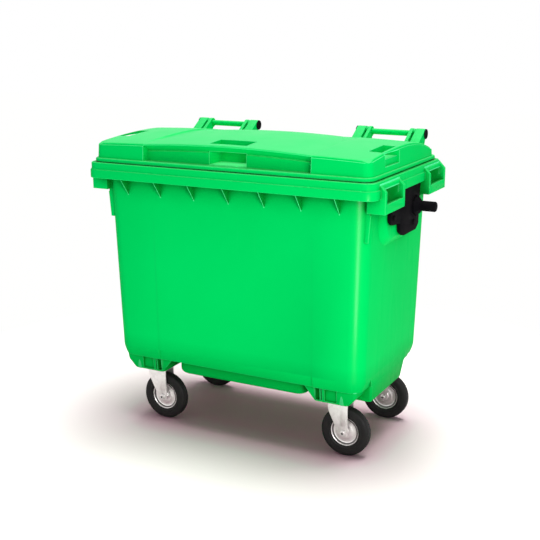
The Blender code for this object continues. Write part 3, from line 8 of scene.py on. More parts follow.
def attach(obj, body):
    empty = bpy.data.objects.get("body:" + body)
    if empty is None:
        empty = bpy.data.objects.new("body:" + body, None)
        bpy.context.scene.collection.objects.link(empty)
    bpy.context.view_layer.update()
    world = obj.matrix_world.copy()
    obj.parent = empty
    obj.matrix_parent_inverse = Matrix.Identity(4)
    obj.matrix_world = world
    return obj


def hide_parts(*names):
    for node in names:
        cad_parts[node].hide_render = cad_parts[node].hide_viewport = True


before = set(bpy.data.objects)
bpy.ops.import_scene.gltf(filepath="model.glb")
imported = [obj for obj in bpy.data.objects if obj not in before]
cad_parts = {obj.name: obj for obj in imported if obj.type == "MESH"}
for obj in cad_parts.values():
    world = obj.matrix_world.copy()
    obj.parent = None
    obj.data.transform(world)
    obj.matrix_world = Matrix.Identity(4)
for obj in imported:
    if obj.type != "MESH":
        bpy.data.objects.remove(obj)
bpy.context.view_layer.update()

scene = bpy.context.scene
print("frame loaded:", len(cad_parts), "nodes")


# small mesh tools
def arc(centre, radius, first, last, steps):
    turns = [math.radians(first + (last - first) * step / steps) for step in range(steps + 1)]
    return [(centre[0] + radius * math.cos(turn), centre[1] + radius * math.sin(turn)) for turn in turns]


def roundedOutline(x0, x1, y0, y1, radius, steps, stops=()):
    # counter-clockwise rectangle with round corners; stops are extra points along its two long sides
    left, right, near, far = x0 + radius, x1 - radius, y0 + radius, y1 - radius
    return (arc((right, far), radius, 0, 90, steps) + [(x, y1) for x in sorted(stops, reverse=True)]
            + arc((left, far), radius, 90, 180, steps) + arc((left, near), radius, 180, 270, steps)
            + [(x, y0) for x in sorted(stops)] + arc((right, near), radius, 270, 360, steps))


def insetRing(s, inset, radius, steps, z):
    # a level ring that far inside a piece's own rectangle
    outline = roundedOutline(inset - s["halfX"], s["halfX"] - inset, s["frontY"] + inset, s["backY"] - inset,
                             radius, steps)
    return [(x, y, z) for x, y in outline]


def filletPath(points, radii, steps=3, measure=math.dist):
    # rounds the inner corners of a path of equal-length tuples; the two ends stay
    path = [tuple(points[0])]
    for before, here, after, radius in zip(points, points[1:], points[2:], radii[1:]):
        first, second = measure(before, here), measure(here, after)
        reach = min(radius, first * 0.48, second * 0.48)
        if reach < 1e-6:
            path.append(tuple(here))
            continue
        start = [h + (b - h) * reach / first for h, b in zip(here, before)]
        end = [h + (a - h) * reach / second for h, a in zip(here, after)]
        for step in range(steps + 1):
            t = step / steps
            path.append(tuple((1 - t) ** 2 * s + 2 * t * (1 - t) * h + t * t * e
                              for s, h, e in zip(start, here, end)))
    path.append(tuple(points[-1]))
    return path


def filletLoop(points, radius, steps=3):
    # rounds every corner of a closed outline
    radii = radius if isinstance(radius, list) else [radius] * len(points)
    rounded = []
    for index, here in enumerate(points):
        trio = [points[index - 1], here, points[(index + 1) % len(points)]]
        rounded += filletPath(trio, [0, radii[index], 0], steps)[1:-1]
    return rounded


def onSide(side, first, second):
    return sorted((side * first, side * second))


def placed(name, data):
    obj = bpy.data.objects.new(name, data)
    scene.collection.objects.link(obj)
    return obj


def fromForm(name, form):
    mesh = bpy.data.meshes.new(name)
    form.to_mesh(mesh)
    form.free()
    return placed(name, mesh)


def toObject(name, form):
    bmesh.ops.recalc_face_normals(form, faces=form.faces)
    return fromForm(name, form)


def loft(name, rings):
    # skin over rings of equal length, closed at both ends
    form = bmesh.new()
    rows = [[form.verts.new(point) for point in ring] for ring in rings]
    for low, high in zip(rows, rows[1:]):
        for index in range(len(low)):
            after = (index + 1) % len(low)
            form.faces.new((low[index], low[after], high[after], high[index]))
    form.faces.new(list(reversed(rows[0])))
    form.faces.new(rows[-1])
    return toObject(name, form)


def prism(name, outline, axis, start, end):
    place = {"x": lambda a, b, c: (c, a, b), "y": lambda a, b, c: (a, c, b), "z": lambda a, b, c: (a, b, c)}[axis]
    return loft(name, [[place(a, b, along) for a, b in outline] for along in (start, end)])


def block(name, x0, x1, y0, y1, z0, z1):
    return prism(name, [(x0, y0), (x1, y0), (x1, y1), (x0, y1)], "z", z0, z1)


def turned(name, profile, segments=48, axis="z", centre=(0, 0, 0)):
    # a closed profile of (radius, height) turned about an axis; radius 0 closes at a pole
    form = bmesh.new()
    turnTo = {"x": Matrix.Rotation(math.radians(90), 3, "Y"), "y": Matrix.Rotation(math.radians(-90), 3, "X"),
              "z": Matrix.Identity(3)}[axis]
    rows = []
    for radius, height in profile:
        turns = [math.tau * index / segments for index in range(segments if radius > 1e-9 else 1)]
        spots = [Vector((radius * math.cos(turn), radius * math.sin(turn), height)) for turn in turns]
        rows.append([form.verts.new(turnTo @ spot + Vector(centre)) for spot in spots])
    pairs = list(zip(rows, rows[1:]))
    if len(rows[0]) > 1 or len(rows[-1]) > 1:
        pairs.append((rows[-1], rows[0]))
    for low, high in pairs:
        for index in range(segments):
            after = (index + 1) % segments
            if len(low) == 1:
                form.faces.new((low[0], high[after], high[index]))
            elif len(high) == 1:
                form.faces.new((low[index], low[after], high[0]))
            else:
                form.faces.new((low[index], low[after], high[after], high[index]))
    return toObject(name, form)


def rod(name, radius, low, high, segments=48, axis="z", centre=(0, 0, 0)):
    return turned(name, [(0, low), (radius, low), (radius, high), (0, high)], segments, axis, centre)


def tube(name, inner, outer, low, high, soft=0, segments=48, axis="z", centre=(0, 0, 0)):
    wall = [(inner, low), (outer, low), (outer, high), (inner, high)]
    return turned(name, filletLoop(wall, soft, 2), segments, axis, centre)


def applied(obj):
    # the object's modifiers become its plain mesh
    mesh = bpy.data.meshes.new_from_object(obj.evaluated_get(bpy.context.evaluated_depsgraph_get()))
    obj.modifiers.clear()
    obj.data = mesh
    return obj


def bevelled(obj, width, segments=2, angle=30):
    step = obj.modifiers.new("Bevel", "BEVEL")
    step.width = width
    step.segments = segments
    step.limit_method = "ANGLE"
    step.angle_limit = math.radians(angle)
    return applied(obj)


def combined(obj, others, operation="DIFFERENCE"):
    for other in others:
        step = obj.modifiers.new(operation.title(), "BOOLEAN")
        step.operation = operation
        step.solver = "EXACT"
        step.object = other
    applied(obj)
    for other in others:
        bpy.data.objects.remove(other, do_unlink=True)
    return obj


def joined(name, objects):
    # closed bodies that overlap a little, kept in one piece
    form = bmesh.new()
    for obj in objects:
        form.from_mesh(obj.data)
        bpy.data.objects.remove(obj, do_unlink=True)
    return fromForm(name, form)


def dressed(obj, body, nodes, finish, sharpDegrees=35):
    obj.data.materials.clear()
    obj.data.materials.append(finish)
    obj.data.shade_smooth()
    obj.data.set_sharp_from_angle(angle=math.radians(sharpDegrees))
    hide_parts(*nodes)
    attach(obj, body)
    return obj


def smoothCopy(node, name, finish, edge=0.0):
    # the CAD node's own shape, welded, with soft shading
    form = bmesh.new()
    form.from_mesh(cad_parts[node].data)
    bmesh.ops.remove_doubles(form, verts=form.verts, dist=1e-5)
    bmesh.ops.dissolve_limit(form, angle_limit=math.radians(0.5), verts=form.verts, edges=form.edges)
    obj = fromForm(name, form)
    if edge:
        bevelled(obj, edge)
    return dressed(obj, "container", [node], finish)


class Steps:
    # a node tree, with one short call for each step in it
    def __init__(self, tree):
        self.nodes, self.join = tree.nodes, tree.links.new

    def add(self, kind, inputs, output=0, **settings):
        # a socket among the inputs is linked, any other value is set
        node = self.nodes.new(kind)
        for label, setting in settings.items():
            setattr(node, label, setting)
        for label, value in inputs.items():
            if isinstance(value, bpy.types.NodeSocket):
                self.join(value, node.inputs[label])
            else:
                node.inputs[label].default_value = value
        return node.outputs[output] if node.outputs else node

    def straightRays(self):
        # 1 for the camera's own rays, and for those by way of a reflection or a clear body
        rays = self.nodes.new("ShaderNodeLightPath").outputs
        most = {"operation": "MAXIMUM"}
        either = self.add("ShaderNodeMath", {0: rays["Is Camera Ray"], 1: rays["Is Glossy Ray"]}, **most)
        return self.add("ShaderNodeMath", {0: either, 1: rays["Is Transmission Ray"]}, **most)


# one node tree repeats a mesh along a line and turns each copy
def repeatTree():
    tree = bpy.data.node_groups.new("repeatAlong", "GeometryNodeTree")
    sockets = {}
    for label, kind in (("Geometry", "Geometry"), ("Count", "Int"), ("Start", "Vector"), ("Step", "Vector"),
                        ("Turn", "Vector"), ("Finish", "Material")):
        socket = tree.interface.new_socket(label, in_out="INPUT", socket_type="NodeSocket" + kind)
        sockets[label] = socket.identifier
    tree.interface.new_socket("Geometry", in_out="OUTPUT", socket_type="NodeSocketGeometry")
    steps = Steps(tree)
    given = steps.nodes.new("NodeGroupInput").outputs
    line = steps.add("GeometryNodeMeshLine", {"Count": given["Count"], "Start Location": given["Start"],
                                              "Offset": given["Step"]}, mode="OFFSET")
    index = steps.add("GeometryNodeInputIndex", {})
    turn = steps.add("ShaderNodeVectorMath", {0: given["Turn"], "Scale": index}, operation="SCALE")
    copies = steps.add("GeometryNodeInstanceOnPoints", {"Points": line, "Instance": given["Geometry"],
                                                        "Rotation": turn})
    real = steps.add("GeometryNodeRealizeInstances", {0: copies})
    painted = steps.add("GeometryNodeSetMaterial", {"Geometry": real, "Material": given["Finish"]})
    steps.add("NodeGroupOutput", {0: painted})
    return tree, sockets


repeater, repeaterSockets = repeatTree()


def repeated(obj, count, start, step, turn, finish):
    mod = obj.modifiers.new("Repeat", "NODES")
    mod.node_group = repeater
    for label, value in (("Count", count), ("Start", start), ("Step", step), ("Turn", turn), ("Finish", finish)):
        mod[repeaterSockets[label]] = value
    return applied(obj)


class Finish(Steps):
    # a material around the plain shader
    def __init__(self, name):
        self.made = bpy.data.materials.new(name)
        self.made.use_nodes = True
        super().__init__(self.made.node_tree)
        self.shader = self.nodes["Principled BSDF"].inputs
        where = self.nodes.new("ShaderNodeTexCoord").outputs
        self.place, self.normal = where["Object"], where["Normal"]

    def give(self, label, socket):
        self.join(socket, self.shader[label])

    def noise(self, scale, detail=2.0, stretch=None, rough=0.5):
        place = self.place
        if stretch:
            place = self.add("ShaderNodeMapping", {"Scale": stretch, "Vector": place})
        return self.add("ShaderNodeTexNoise", {"Scale": scale, "Detail": detail, "Roughness": rough,
                                               "Vector": place}, "Fac")

    def ranged(self, value, low, high, toLow=0, toHigh=1):
        return self.add("ShaderNodeMapRange", {"Value": value, "From Min": low, "From Max": high,
                                               "To Min": toLow, "To Max": toHigh}, "Result")

    def blended(self, factor, first, second):
        first, second = (colour if hasattr(colour, "links") else (*colour, 1) for colour in (first, second))
        return self.add("ShaderNodeMix", {"Factor": factor, "A": first, "B": second}, "Result", data_type="RGBA")

    def hollow(self, reach, low, high, most=1.0, inside=False):
        # a mask for painted shade, most near an inner corner, or for painted highlights, most near an outer edge when
        # it looks inside
        near = self.add("ShaderNodeAmbientOcclusion", {"Distance": reach}, "AO", samples=8, inside=inside)
        return self.ranged(near, low, high, most, 0)

    def upright(self, vector):
        return self.add("ShaderNodeSeparateXYZ", {0: vector}, "Z")

    def grain(self, scale, detail, strength, depth):
        height = self.noise(scale, detail)
        self.give("Normal", self.add("ShaderNodeBump", {"Strength": strength, "Distance": depth, "Height": height}))


# of these colours one is a painted sheen on what faces up, one a painted highlight on outer edges and one a painted
# shade in creases, recesses and under the rims; the rest are the plastic's own tones and scratches
greenSettings = {"deep": (0.0, 0.58, 0.092), "plain": (0.0, 0.64, 0.115), "scuff": (0.02, 0.67, 0.14),
                 "crease": (0.0, 0.24, 0.022), "edge": (0.1, 0.9, 0.38), "topSheen": (0.155, 0.72, 0.3),
                 "topSheenShare": 0.45, "hollow": (0.14, 0.46, 0.98, 1.0), "edgeHighlightMask": (0.0026, 0.52, 0.9),
                 "roughness": 0.28, "ior": 1.03, "grain": (620, 2, 0.35, 0.00008)}


def greenPlastic(name, settings):
    f = Finish(name)
    clouds = f.ranged(f.noise(2.6, 3), 0.35, 0.65)
    flow = f.noise(7, 3, (1.0, 1.0, 0.16))  # faint upright flow marks from moulding
    colour = f.blended(f.ranged(clouds, 0, 1, 0.72, 1.0), settings["deep"], settings["plain"])
    scratches = f.ranged(f.noise(60, 4, (1.0, 1.0, 0.05), 0.7), 0.66, 0.78, 0, 0.22)
    colour = f.blended(scratches, colour, settings["scuff"])
    # painted light: what faces up gets a painted sheen, the outer edges a painted highlight, and creases, recesses
    # and the parts under the rims a painted shade
    # painted sheen: faces that look up are painted paler, standing in for the soft reflection of the light above
    topSheen = f.ranged(f.upright(f.normal), 0.55, 0.98, 0, settings["topSheenShare"])
    colour = f.blended(topSheen, colour, settings["topSheen"])
    # painted highlight: outer edges are painted paler, as if catching the light
    colour = f.blended(f.hollow(*settings["edgeHighlightMask"], inside=True), colour, settings["edge"])
    # painted shade: creases, recesses, pockets and the band under the rims are painted darker, where shade falls
    colour = f.blended(f.hollow(*settings["hollow"]), colour, settings["crease"])
    # painted shade: where given, the colour darkens lower down, towards the ground
    if "lowZ" in settings:
        colour = f.blended(f.ranged(f.upright(f.place), *settings["lowZ"]), colour, settings["crease"])
    f.give("Base Color", colour)
    f.give("Roughness", f.ranged(flow, 0.3, 0.7, settings["roughness"] - 0.05, settings["roughness"] + 0.07))
    f.grain(*settings["grain"])
    f.shader["IOR"].default_value = settings["ior"]
    return f.made


darkSettings = {
    "plastic": {"noise": (14, 3), "cover": (0.35, 0.7), "dark": (0.004, 0.004, 0.005), "dusty": (0.01, 0.009, 0.01),
                "roughness": (0.48, 0.62), "sheen": ("IOR", 1.05), "grain": (900, 2, 0.4, 0.00012)},
    "rubber": {"noise": (38, 4), "cover": (0.45, 0.8), "dark": (0.006, 0.006, 0.006), "dusty": (0.014, 0.013, 0.011),
               "roughness": (0.55, 0.75), "sheen": ("Specular IOR Level", 0.22), "grain": (700, 3, 0.45, 0.00018)}}


def darkFinish(name, settings):
    f = Finish(name)
    dust = f.noise(*settings["noise"])
    f.give("Base Color", f.blended(f.ranged(dust, *settings["cover"]), settings["dark"], settings["dusty"]))
    f.give("Roughness", f.ranged(dust, 0.3, 0.7, *settings["roughness"]))
    label, amount = settings["sheen"]
    f.shader[label].default_value = amount
    f.grain(*settings["grain"])
    return f.made


def zincPlate(name, bright, dull, roughness):
    f = Finish(name)
    crystals = f.add("ShaderNodeTexVoronoi", {"Scale": 90, "Vector": f.place}, "Color")
    layer = f.blended(f.ranged(f.add("ShaderNodeRGBToBW", {0: crystals}), 0.2, 0.8), bright, dull)
    # painted shade: grooves, holes and tight corners are painted dark, such as the wheel disc's groove and the axle
    # end's hole
    grooveShade = f.hollow(0.012, 0.25, 0.8, 0.85)
    f.give("Base Color", f.blended(grooveShade, layer, (0.06, 0.055, 0.055)))
    f.give("Roughness", f.ranged(f.noise(25, 3), 0.3, 0.7, roughness - 0.05, roughness + 0.1))
    f.shader["Metallic"].default_value = 0.85
    f.grain(500, 2, 0.25, 0.00006)
    return f.made


# painted shade: the body's colour darkens towards the ground, in the shade under the container
green = greenPlastic("greenBody", {**greenSettings, "lowZ": (0.255, 0.4, 0.6, 0.0)})  # dullest near the ground
# the lid takes less painted shade in its creases and under its edges
greenLid = greenPlastic("greenLid", {**greenSettings, "roughness": 0.33, "hollow": (0.06, 0.12, 0.84, 0.2)})
black = darkFinish("blackBracket", darkSettings["plastic"])
rubber = darkFinish("blackTyre", darkSettings["rubber"])
zinc = zincPlate("zincFork", (0.82, 0.79, 0.78), (0.74, 0.71, 0.7), 0.34)
steel = zincPlate("plainSteel", (0.58, 0.57, 0.57), (0.42, 0.41, 0.41), 0.42)
print("finishes ready")


tubSizes = {"halfX": 0.5665, "frontY": -0.3275, "backY": 0.3415, "draft": 0.019, "wall": 0.007, "cornerR": 0.06,
            "footZ": 0.335, "floorZ": 0.3, "turnIn": 0.012, "footR": 0.05,
            "panelHalfX": 0.347, "panelBlend": 0.004, "panelTopZ": 0.93, "panelDepth": 0.0042,
            "sink": 0.0012}  # how far the joined bodies reach into each other
rimSizes = {"halfX": 0.615, "frontY": -0.3885, "backY": 0.362, "topZ": 1.1157, "stepZ": 1.0858, "bottomZ": 1.0536,
            "step": 0.005, "web": 0.011, "skirt": 0.005, "cornerR": 0.045}


def leanAt(z):
    t, r = tubSizes, rimSizes
    return t["draft"] * (r["topZ"] - r["web"] - z) / (r["topZ"] - r["web"] - t["footZ"])


def wallKey(inset, radius, z, panel=0.0):
    t = tubSizes
    return (t["halfX"] - inset, t["frontY"] + inset, t["backY"] - inset, radius, z, panel)


def rimKey(inset, z):
    r = rimSizes
    return (r["halfX"] - inset, r["frontY"] + inset, r["backY"] - inset, max(r["cornerR"] - inset, 0.004), z, 0.0)


def keyLength(a, b):
    return math.hypot(a[0] - b[0], a[4] - b[4])


def tubShell():
    t, r = tubSizes, rimSizes
    webZ = r["topZ"] - r["web"]
    foot = t["draft"] + t["turnIn"]
    innerR = t["cornerR"] - t["wall"]
    step, skirt = r["step"], r["skirt"]
    keys = [  # each ring with the rounding at its edge
        (wallKey(foot, t["footR"], t["floorZ"], t["panelDepth"]), 0),
        (wallKey(foot - 0.0035, t["footR"], t["floorZ"] + 0.01, t["panelDepth"]), 0.008),
        (wallKey(t["draft"], t["cornerR"], t["footZ"], t["panelDepth"]), 0.016),
        (wallKey(leanAt(t["panelTopZ"]), t["cornerR"], t["panelTopZ"], 0.0), 0),
        (wallKey(0.0, t["cornerR"], webZ), 0.006),
        (rimKey(step + skirt, webZ), 0.004),
        (rimKey(step + skirt, r["stepZ"]), 0.002),
        (rimKey(skirt, r["stepZ"] - 0.004), 0.002),
        (rimKey(skirt, r["bottomZ"]), 0.0016),
        (rimKey(0.0, r["bottomZ"]), 0.0022),
        (rimKey(0.0, r["stepZ"]), 0.003),
        (rimKey(step, r["stepZ"] + 0.0035), 0.003),
        (rimKey(step, r["topZ"]), 0.0055),
        (wallKey(t["wall"], innerR, r["topZ"]), 0.006),
        (wallKey(t["draft"] + t["wall"], innerR, t["footZ"]), 0.02),
        (wallKey(foot + t["wall"], t["footR"] - t["wall"], t["floorZ"] + t["wall"] + 0.006), 0.012),
        (wallKey(foot + t["wall"] + 0.012, t["footR"] - t["wall"], t["floorZ"] + t["wall"]), 0),
    ]
    half, soft = t["panelHalfX"], t["panelBlend"] / 2
    stops = (-half - soft, -half + soft, half - soft, half + soft)
    rings = []
    for halfX, front, back, radius, z, panel in filletPath(*zip(*keys), 4, keyLength):
        ring = []
        for x, y in roundedOutline(-halfX, halfX, front, back, radius, 12, stops):
            sunk = abs(x) < half and panel > 0 and min(abs(y - front), abs(y - back)) < 1e-7
            ring.append((x, y - math.copysign(panel, y) if sunk else y, z))
        rings.append(ring)
    return loft("tubShell", rings)


bellySizes = {"z": 0.233, "halfX": 0.29, "frontY": -0.25, "backY": 0.27, "round": 0.024, "cornerR": 0.03,
              "armFrontY": -0.115, "armBackY": 0.172, "armFootBackY": 0.13, "armRound": 0.01,
              "endFrontY": -0.192, "endInnerX": 0.47, "endX": 0.5463, "apron": 0.0072, "apart": 0.0003}


def bellyBlock(inset, topZ):
    s = bellySizes
    soft, low = s["round"], s["z"] + inset
    rings = [insetRing(s, inset + soft * (1 - away), s["cornerR"], 8, low + soft * (1 - up))
             for away, up in arc((0, 0), 1, 90, 0, 6)]
    return loft("belly", rings + [insetRing(s, inset, s["cornerR"], 8, topZ)])


def bellyArm(inset, topZ, side, innerX, frontY):
    s, floorZ = bellySizes, tubSizes["floorZ"]
    low, soft = s["z"] + inset, s["armRound"]
    share = (floorZ - s["z"] - soft) / (floorZ - s["z"])
    kneeY = s["armBackY"] - (s["armBackY"] - s["armFootBackY"]) * share

    def ring(tuck, backY, z):
        endX = s["endX"] - inset - tuck
        xs = onSide(side, innerX + inset, endX) if side else (-endX, endX)
        return [(x, y, z) for x, y in roundedOutline(*xs, frontY + inset + tuck, backY - inset, soft, 4)]
    return loft("arm", [ring(soft, s["armFootBackY"], low), ring(soft * 0.4, kneeY - 0.004, low + 0.0035),
                        ring(soft / 8, kneeY, low + soft), ring(0, s["armBackY"], floorZ),
                        ring(0, s["armBackY"], topZ)])


def underBodies():
    s, t = bellySizes, tubSizes
    topZ, apronZ = t["floorZ"] + t["wall"] / 2, t["footZ"] + t["sink"]
    parts = [bellyBlock(0, topZ), bellyArm(0, topZ + s["apart"], 0, 0, s["armFrontY"])]
    for side in (-1, 1):
        parts.append(bellyArm(0, topZ + 2 * s["apart"], side, s["endInnerX"], s["endFrontY"]))
        apron = [(s["endFrontY"] + 0.001, t["floorZ"]), (s["armBackY"] - t["sink"], t["floorZ"]),
                 (s["armBackY"] + 0.01, apronZ), (s["endFrontY"] - 0.01, apronZ)]
        parts.append(prism("apron", apron, "x", *onSide(side, s["endX"] - s["apron"], s["endX"] - 0.0001)))
    return parts


def hollowBlocks():
    s, w = bellySizes, tubSizes["wall"]
    topZ = tubSizes["footZ"] + w * 2
    ends = [bellyArm(w, topZ + w, side, s["endInnerX"], s["endFrontY"]) for side in (-1, 1)]
    return [bellyBlock(w, topZ), bellyArm(w, topZ + s["apart"], 0, 0, s["armFrontY"])] + ends


podSizes = {"z": 0.24, "innerX": 0.345, "outerX": 0.522, "shoulderZ": 0.276, "footOuterX": 0.489, "depth": 0.165,
            "frontY": -0.288, "backY": 0.3, "tuck": 0.006, "cornerR": 0.012,
            "pocket": (0.353, 0.371, 0.016), "slit": (0.3755, 0.38, 0.01), "panel": (0.3915, 0.4415, 0.0045),
            "bossX": 0.462, "bossR": 0.0135, "bossHole": 0.0045, "bossTop": 0.052,
            "gusset": 0.048, "gussetThick": 0.004}


def casterPod(side, ySide, yEdge):
    p = podSizes
    topZ = tubSizes["floorZ"] + tubSizes["wall"] / 2

    def ring(outerX, tuck, z):
        ys = sorted((yEdge - ySide * tuck, yEdge - ySide * p["depth"]))
        return [(x, y, z) for x, y in roundedOutline(*onSide(side, p["innerX"], outerX), *ys, p["cornerR"], 5)]
    shoulder, footX = p["outerX"] - p["tuck"] / 2, p["footOuterX"]
    pod = loft("pod", [ring(footX - 0.002, p["tuck"] + 0.002, p["z"]), ring(footX, p["tuck"], p["z"] + 0.0025),
                       ring(footX + (shoulder - footX) * 0.9, p["tuck"] * 0.56, p["shoulderZ"] - 0.004),
                       ring(shoulder + 0.0004, p["tuck"] * 0.45, p["shoulderZ"] + 0.004),
                       ring(p["outerX"], 0, topZ)])
    cutters = []
    for x0, x1, deep in (p["pocket"], p["slit"], p["panel"]):
        ys = sorted((yEdge + ySide * 0.02, yEdge - ySide * (deep + p["tuck"])))
        cutters.append(block("pocket", *onSide(side, x0, x1), *ys, p["z"] + 0.007, tubSizes["floorZ"] - 0.004))
    combined(pod, cutters)
    hole, lip, top = p["bossHole"], 0.0035, p["bossTop"]
    boss = [(0.0, lip), (hole, lip), (hole, 0.0), (p["bossR"], 0.0), (p["bossR"], top), (0.0, top)]
    boss = turned("boss", filletPath(boss, [0, 0.0008, 0.0008, 0.002, 0, 0], 2), 24,
                  centre=(side * p["bossX"], yEdge - ySide * (p["bossR"] + p["tuck"] - 0.001), p["z"] - 0.0006))
    ys = sorted((yEdge - ySide * p["tuck"], yEdge - ySide * (p["tuck"] + p["gussetThick"])))
    nearX = side * (p["innerX"] + 0.004)
    fin = [(nearX, p["z"] + 0.002), (nearX, topZ), (side * (p["innerX"] - p["gusset"]), topZ)]
    return joined("pod", [pod, boss, bevelled(prism("gusset", fin, "y", *ys), 0.0008, 1)])


gripSizes = {"outerX": 0.633, "bottomZ": 0.999, "length": 0.198, "frontY": -0.3231, "backY": 0.1471, "cheek": 0.018,
             "bar": 0.016, "barTopZ": 1.034, "chamferZ": 1.08, "innerX": 0.5629, "hollowX": 0.5695,
             "hollowTopX": 0.6156, "roofZ": 1.0828, "edge": 0.0016, "deeper": 0.002}


def gripLoop(side, y0):
    g, topZ = gripSizes, rimSizes["topZ"]
    y1 = y0 + g["length"]
    outline = [(g["innerX"], g["bottomZ"]), (g["outerX"], g["bottomZ"]), (g["outerX"], g["chamferZ"]),
               (rimSizes["halfX"] - 0.01, topZ - 0.006), (g["innerX"], topZ - 0.006)]
    loop = prism("grip", [(side * x, z) for x, z in outline], "y", y0, y1)
    barX, pastX, lowZ = g["outerX"] - g["bar"], g["outerX"] + 0.02, g["bottomZ"] - 0.02
    hollow = [(g["hollowX"], lowZ), (barX, lowZ), (barX, g["barTopZ"]), (pastX, g["barTopZ"]), (pastX, topZ + 0.01),
              (g["hollowTopX"], topZ + 0.01), (g["hollowTopX"], g["roofZ"]), (g["hollowX"], g["roofZ"])]
    combined(loop, [prism("gripHollow", [(side * x, z) for x, z in hollow], "y", y0 + g["cheek"], y1 - g["cheek"])])
    return bevelled(loop, g["edge"], 2, 40)


def gripCutters():
    # the skirt is open where the loops are; the cuts end inside the loops' own walls
    g, cutters = gripSizes, []
    deeper = g["deeper"]
    for side in (-1, 1):
        for y0 in (g["frontY"], g["backY"]):
            ys = (y0 + g["cheek"] - deeper, y0 + g["length"] - g["cheek"] + deeper)
            cutters.append(block("skirtGap", *onSide(side, g["hollowX"] - deeper, g["outerX"] + 0.01), *ys,
                                 g["bottomZ"] - 0.01, g["roofZ"] + deeper))
    return cutters


seatSizes = {"x": 0.585, "frontY": -0.18, "backY": 0.2, "topZ": 1.07, "bottomZ": 0.87, "cornerR": 0.08,
             "slope": 0.026,
             "edge": ((0.008, 0.34), (0.0045, 0.13), (0.002, 0.02))}  # how far in, and its share of the slope


def seatFoot(front, back, low, radius, steps):
    return (arc((front + radius, low + radius), radius, 180, 270, steps)
            + arc((back - radius, low + radius), radius, 270, 360, steps))


def seatPad(side):
    s = seatSizes
    middle, half = (s["frontY"] + s["backY"]) / 2, (s["backY"] - s["frontY"]) / 2
    points = seatFoot(s["frontY"], s["backY"], s["bottomZ"], s["cornerR"], 12)
    points += [(s["backY"], s["topZ"]), (s["frontY"], s["topZ"])]
    levels = [(tubSizes["halfX"] - leanAt(s["bottomZ"]) - tubSizes["sink"], s["slope"])]
    levels += [(s["x"] - inward, s["slope"] * share) for inward, share in s["edge"]]
    levels += [(s["x"] - 0.0006, -0.003), (s["x"], -0.008)]
    rings = []
    for x, grow in levels:
        share = 1 + grow / half
        rings.append([(side * x, middle + (y - middle) * share, s["topZ"] - (s["topZ"] - z) * share)
                      for y, z in points])
    return loft("seat", rings)


def seatHollow(side):
    # the space behind the seat, narrower between the grips
    s, g, w = seatSizes, gripSizes, tubSizes["wall"]
    high, shoulder = s["topZ"] - w, g["bottomZ"] - 0.01 - w
    front, back = s["frontY"] + w, s["backY"] - w
    upperFront, upperBack = g["frontY"] + g["length"] + w, g["backY"] - w
    outline = [(upperFront, high), (upperFront, shoulder), (front, shoulder)]
    outline += seatFoot(front, back, s["bottomZ"] + w, s["cornerR"] - w, 8)
    outline += [(back, shoulder), (upperBack, shoulder), (upperBack, high)]
    return prism("seatHollow", outline, "x", *onSide(side, s["x"] - w, tubSizes["halfX"] - tubSizes["draft"] - w))


hingeSizes = {"outerX": 0.5394, "innerX": 0.2348, "y": 0.3665, "z": 1.2077, "r": 0.0212, "cap": 0.004,
              "capR": 0.0205, "capStem": 0.022, "armWidth": 0.039, "slot": 0.011, "thin": 0.014, "earR": 0.0195,
              "tubeR": 0.012, "tubeBore": 0.0085, "armFootY": 0.262, "armFootZ": 1.165, "topDegrees": 124,
              "gap": 0.0003}


def earSlots():
    h = hingeSizes
    inner = h["innerX"] + h["cap"] + h["armWidth"]
    outer = h["outerX"] - h["cap"] - h["armWidth"]
    return ((inner, inner + h["slot"]), (outer - h["slot"], outer))


def hingeBore(side, x0, x1, gap):
    h = hingeSizes
    return rod("bore", h["tubeR"] + gap, -0.06, 0.06, 48, "x", (side * (x0 + x1) / 2, h["y"], h["z"]))


def hingeEar(side, x0, x1):
    h, r = hingeSizes, rimSizes
    backY, rootZ = r["backY"] - r["step"], r["topZ"] - r["web"] / 2
    outline = [(r["backY"] - r["step"] * 5, rootZ), (backY, rootZ), (backY, r["topZ"]),
               (h["y"] + h["earR"], h["z"] - h["earR"] / 2), *arc((h["y"], h["z"]), h["earR"], -10, 190, 24),
               (r["backY"] - r["step"] * 3, h["z"] - h["earR"] * 2)]
    ear = prism("ear", outline, "x", *onSide(side, x0 + 0.001, x1 - 0.001))
    return bevelled(combined(ear, [hingeBore(side, x0, x1, h["gap"])]), 0.0008)


ribSizes = {"count": 7, "pitch": 0.153, "thick": 0.003, "footZ": 0.985, "backFootZ": 1.02}


def rimRib(yWall, ySkirt, footZ):
    away, sink = math.copysign(1, ySkirt), tubSizes["sink"]
    webZ, skirt = rimSizes["topZ"] - rimSizes["web"] + sink, ySkirt + away * sink
    outline = [(yWall - away * sink, webZ), (yWall - away * (leanAt(footZ) + sink), footZ),
               (skirt, rimSizes["bottomZ"] + 0.005), (skirt, webZ)]
    half = ribSizes["thick"] / 2
    return bevelled(prism("rib", outline, "x", -half, half), 0.0005, 1)


def rimRibs():
    t, r, s = tubSizes, rimSizes, ribSizes
    inset = r["step"] + r["skirt"]
    first = -s["pitch"] * (s["count"] - 1) / 2
    rows = ((t["frontY"], r["frontY"] + inset, s["footZ"]), (t["backY"], r["backY"] - inset, s["backFootZ"]))
    return [repeated(rimRib(*row), s["count"], (first, 0, 0), (s["pitch"], 0, 0), (0, 0, 0), green) for row in rows]


finSizes = {"footZ": 0.887, "inset": 0.025, "topReach": 0.0145, "footReach": 0.002, "thick": 0.006}


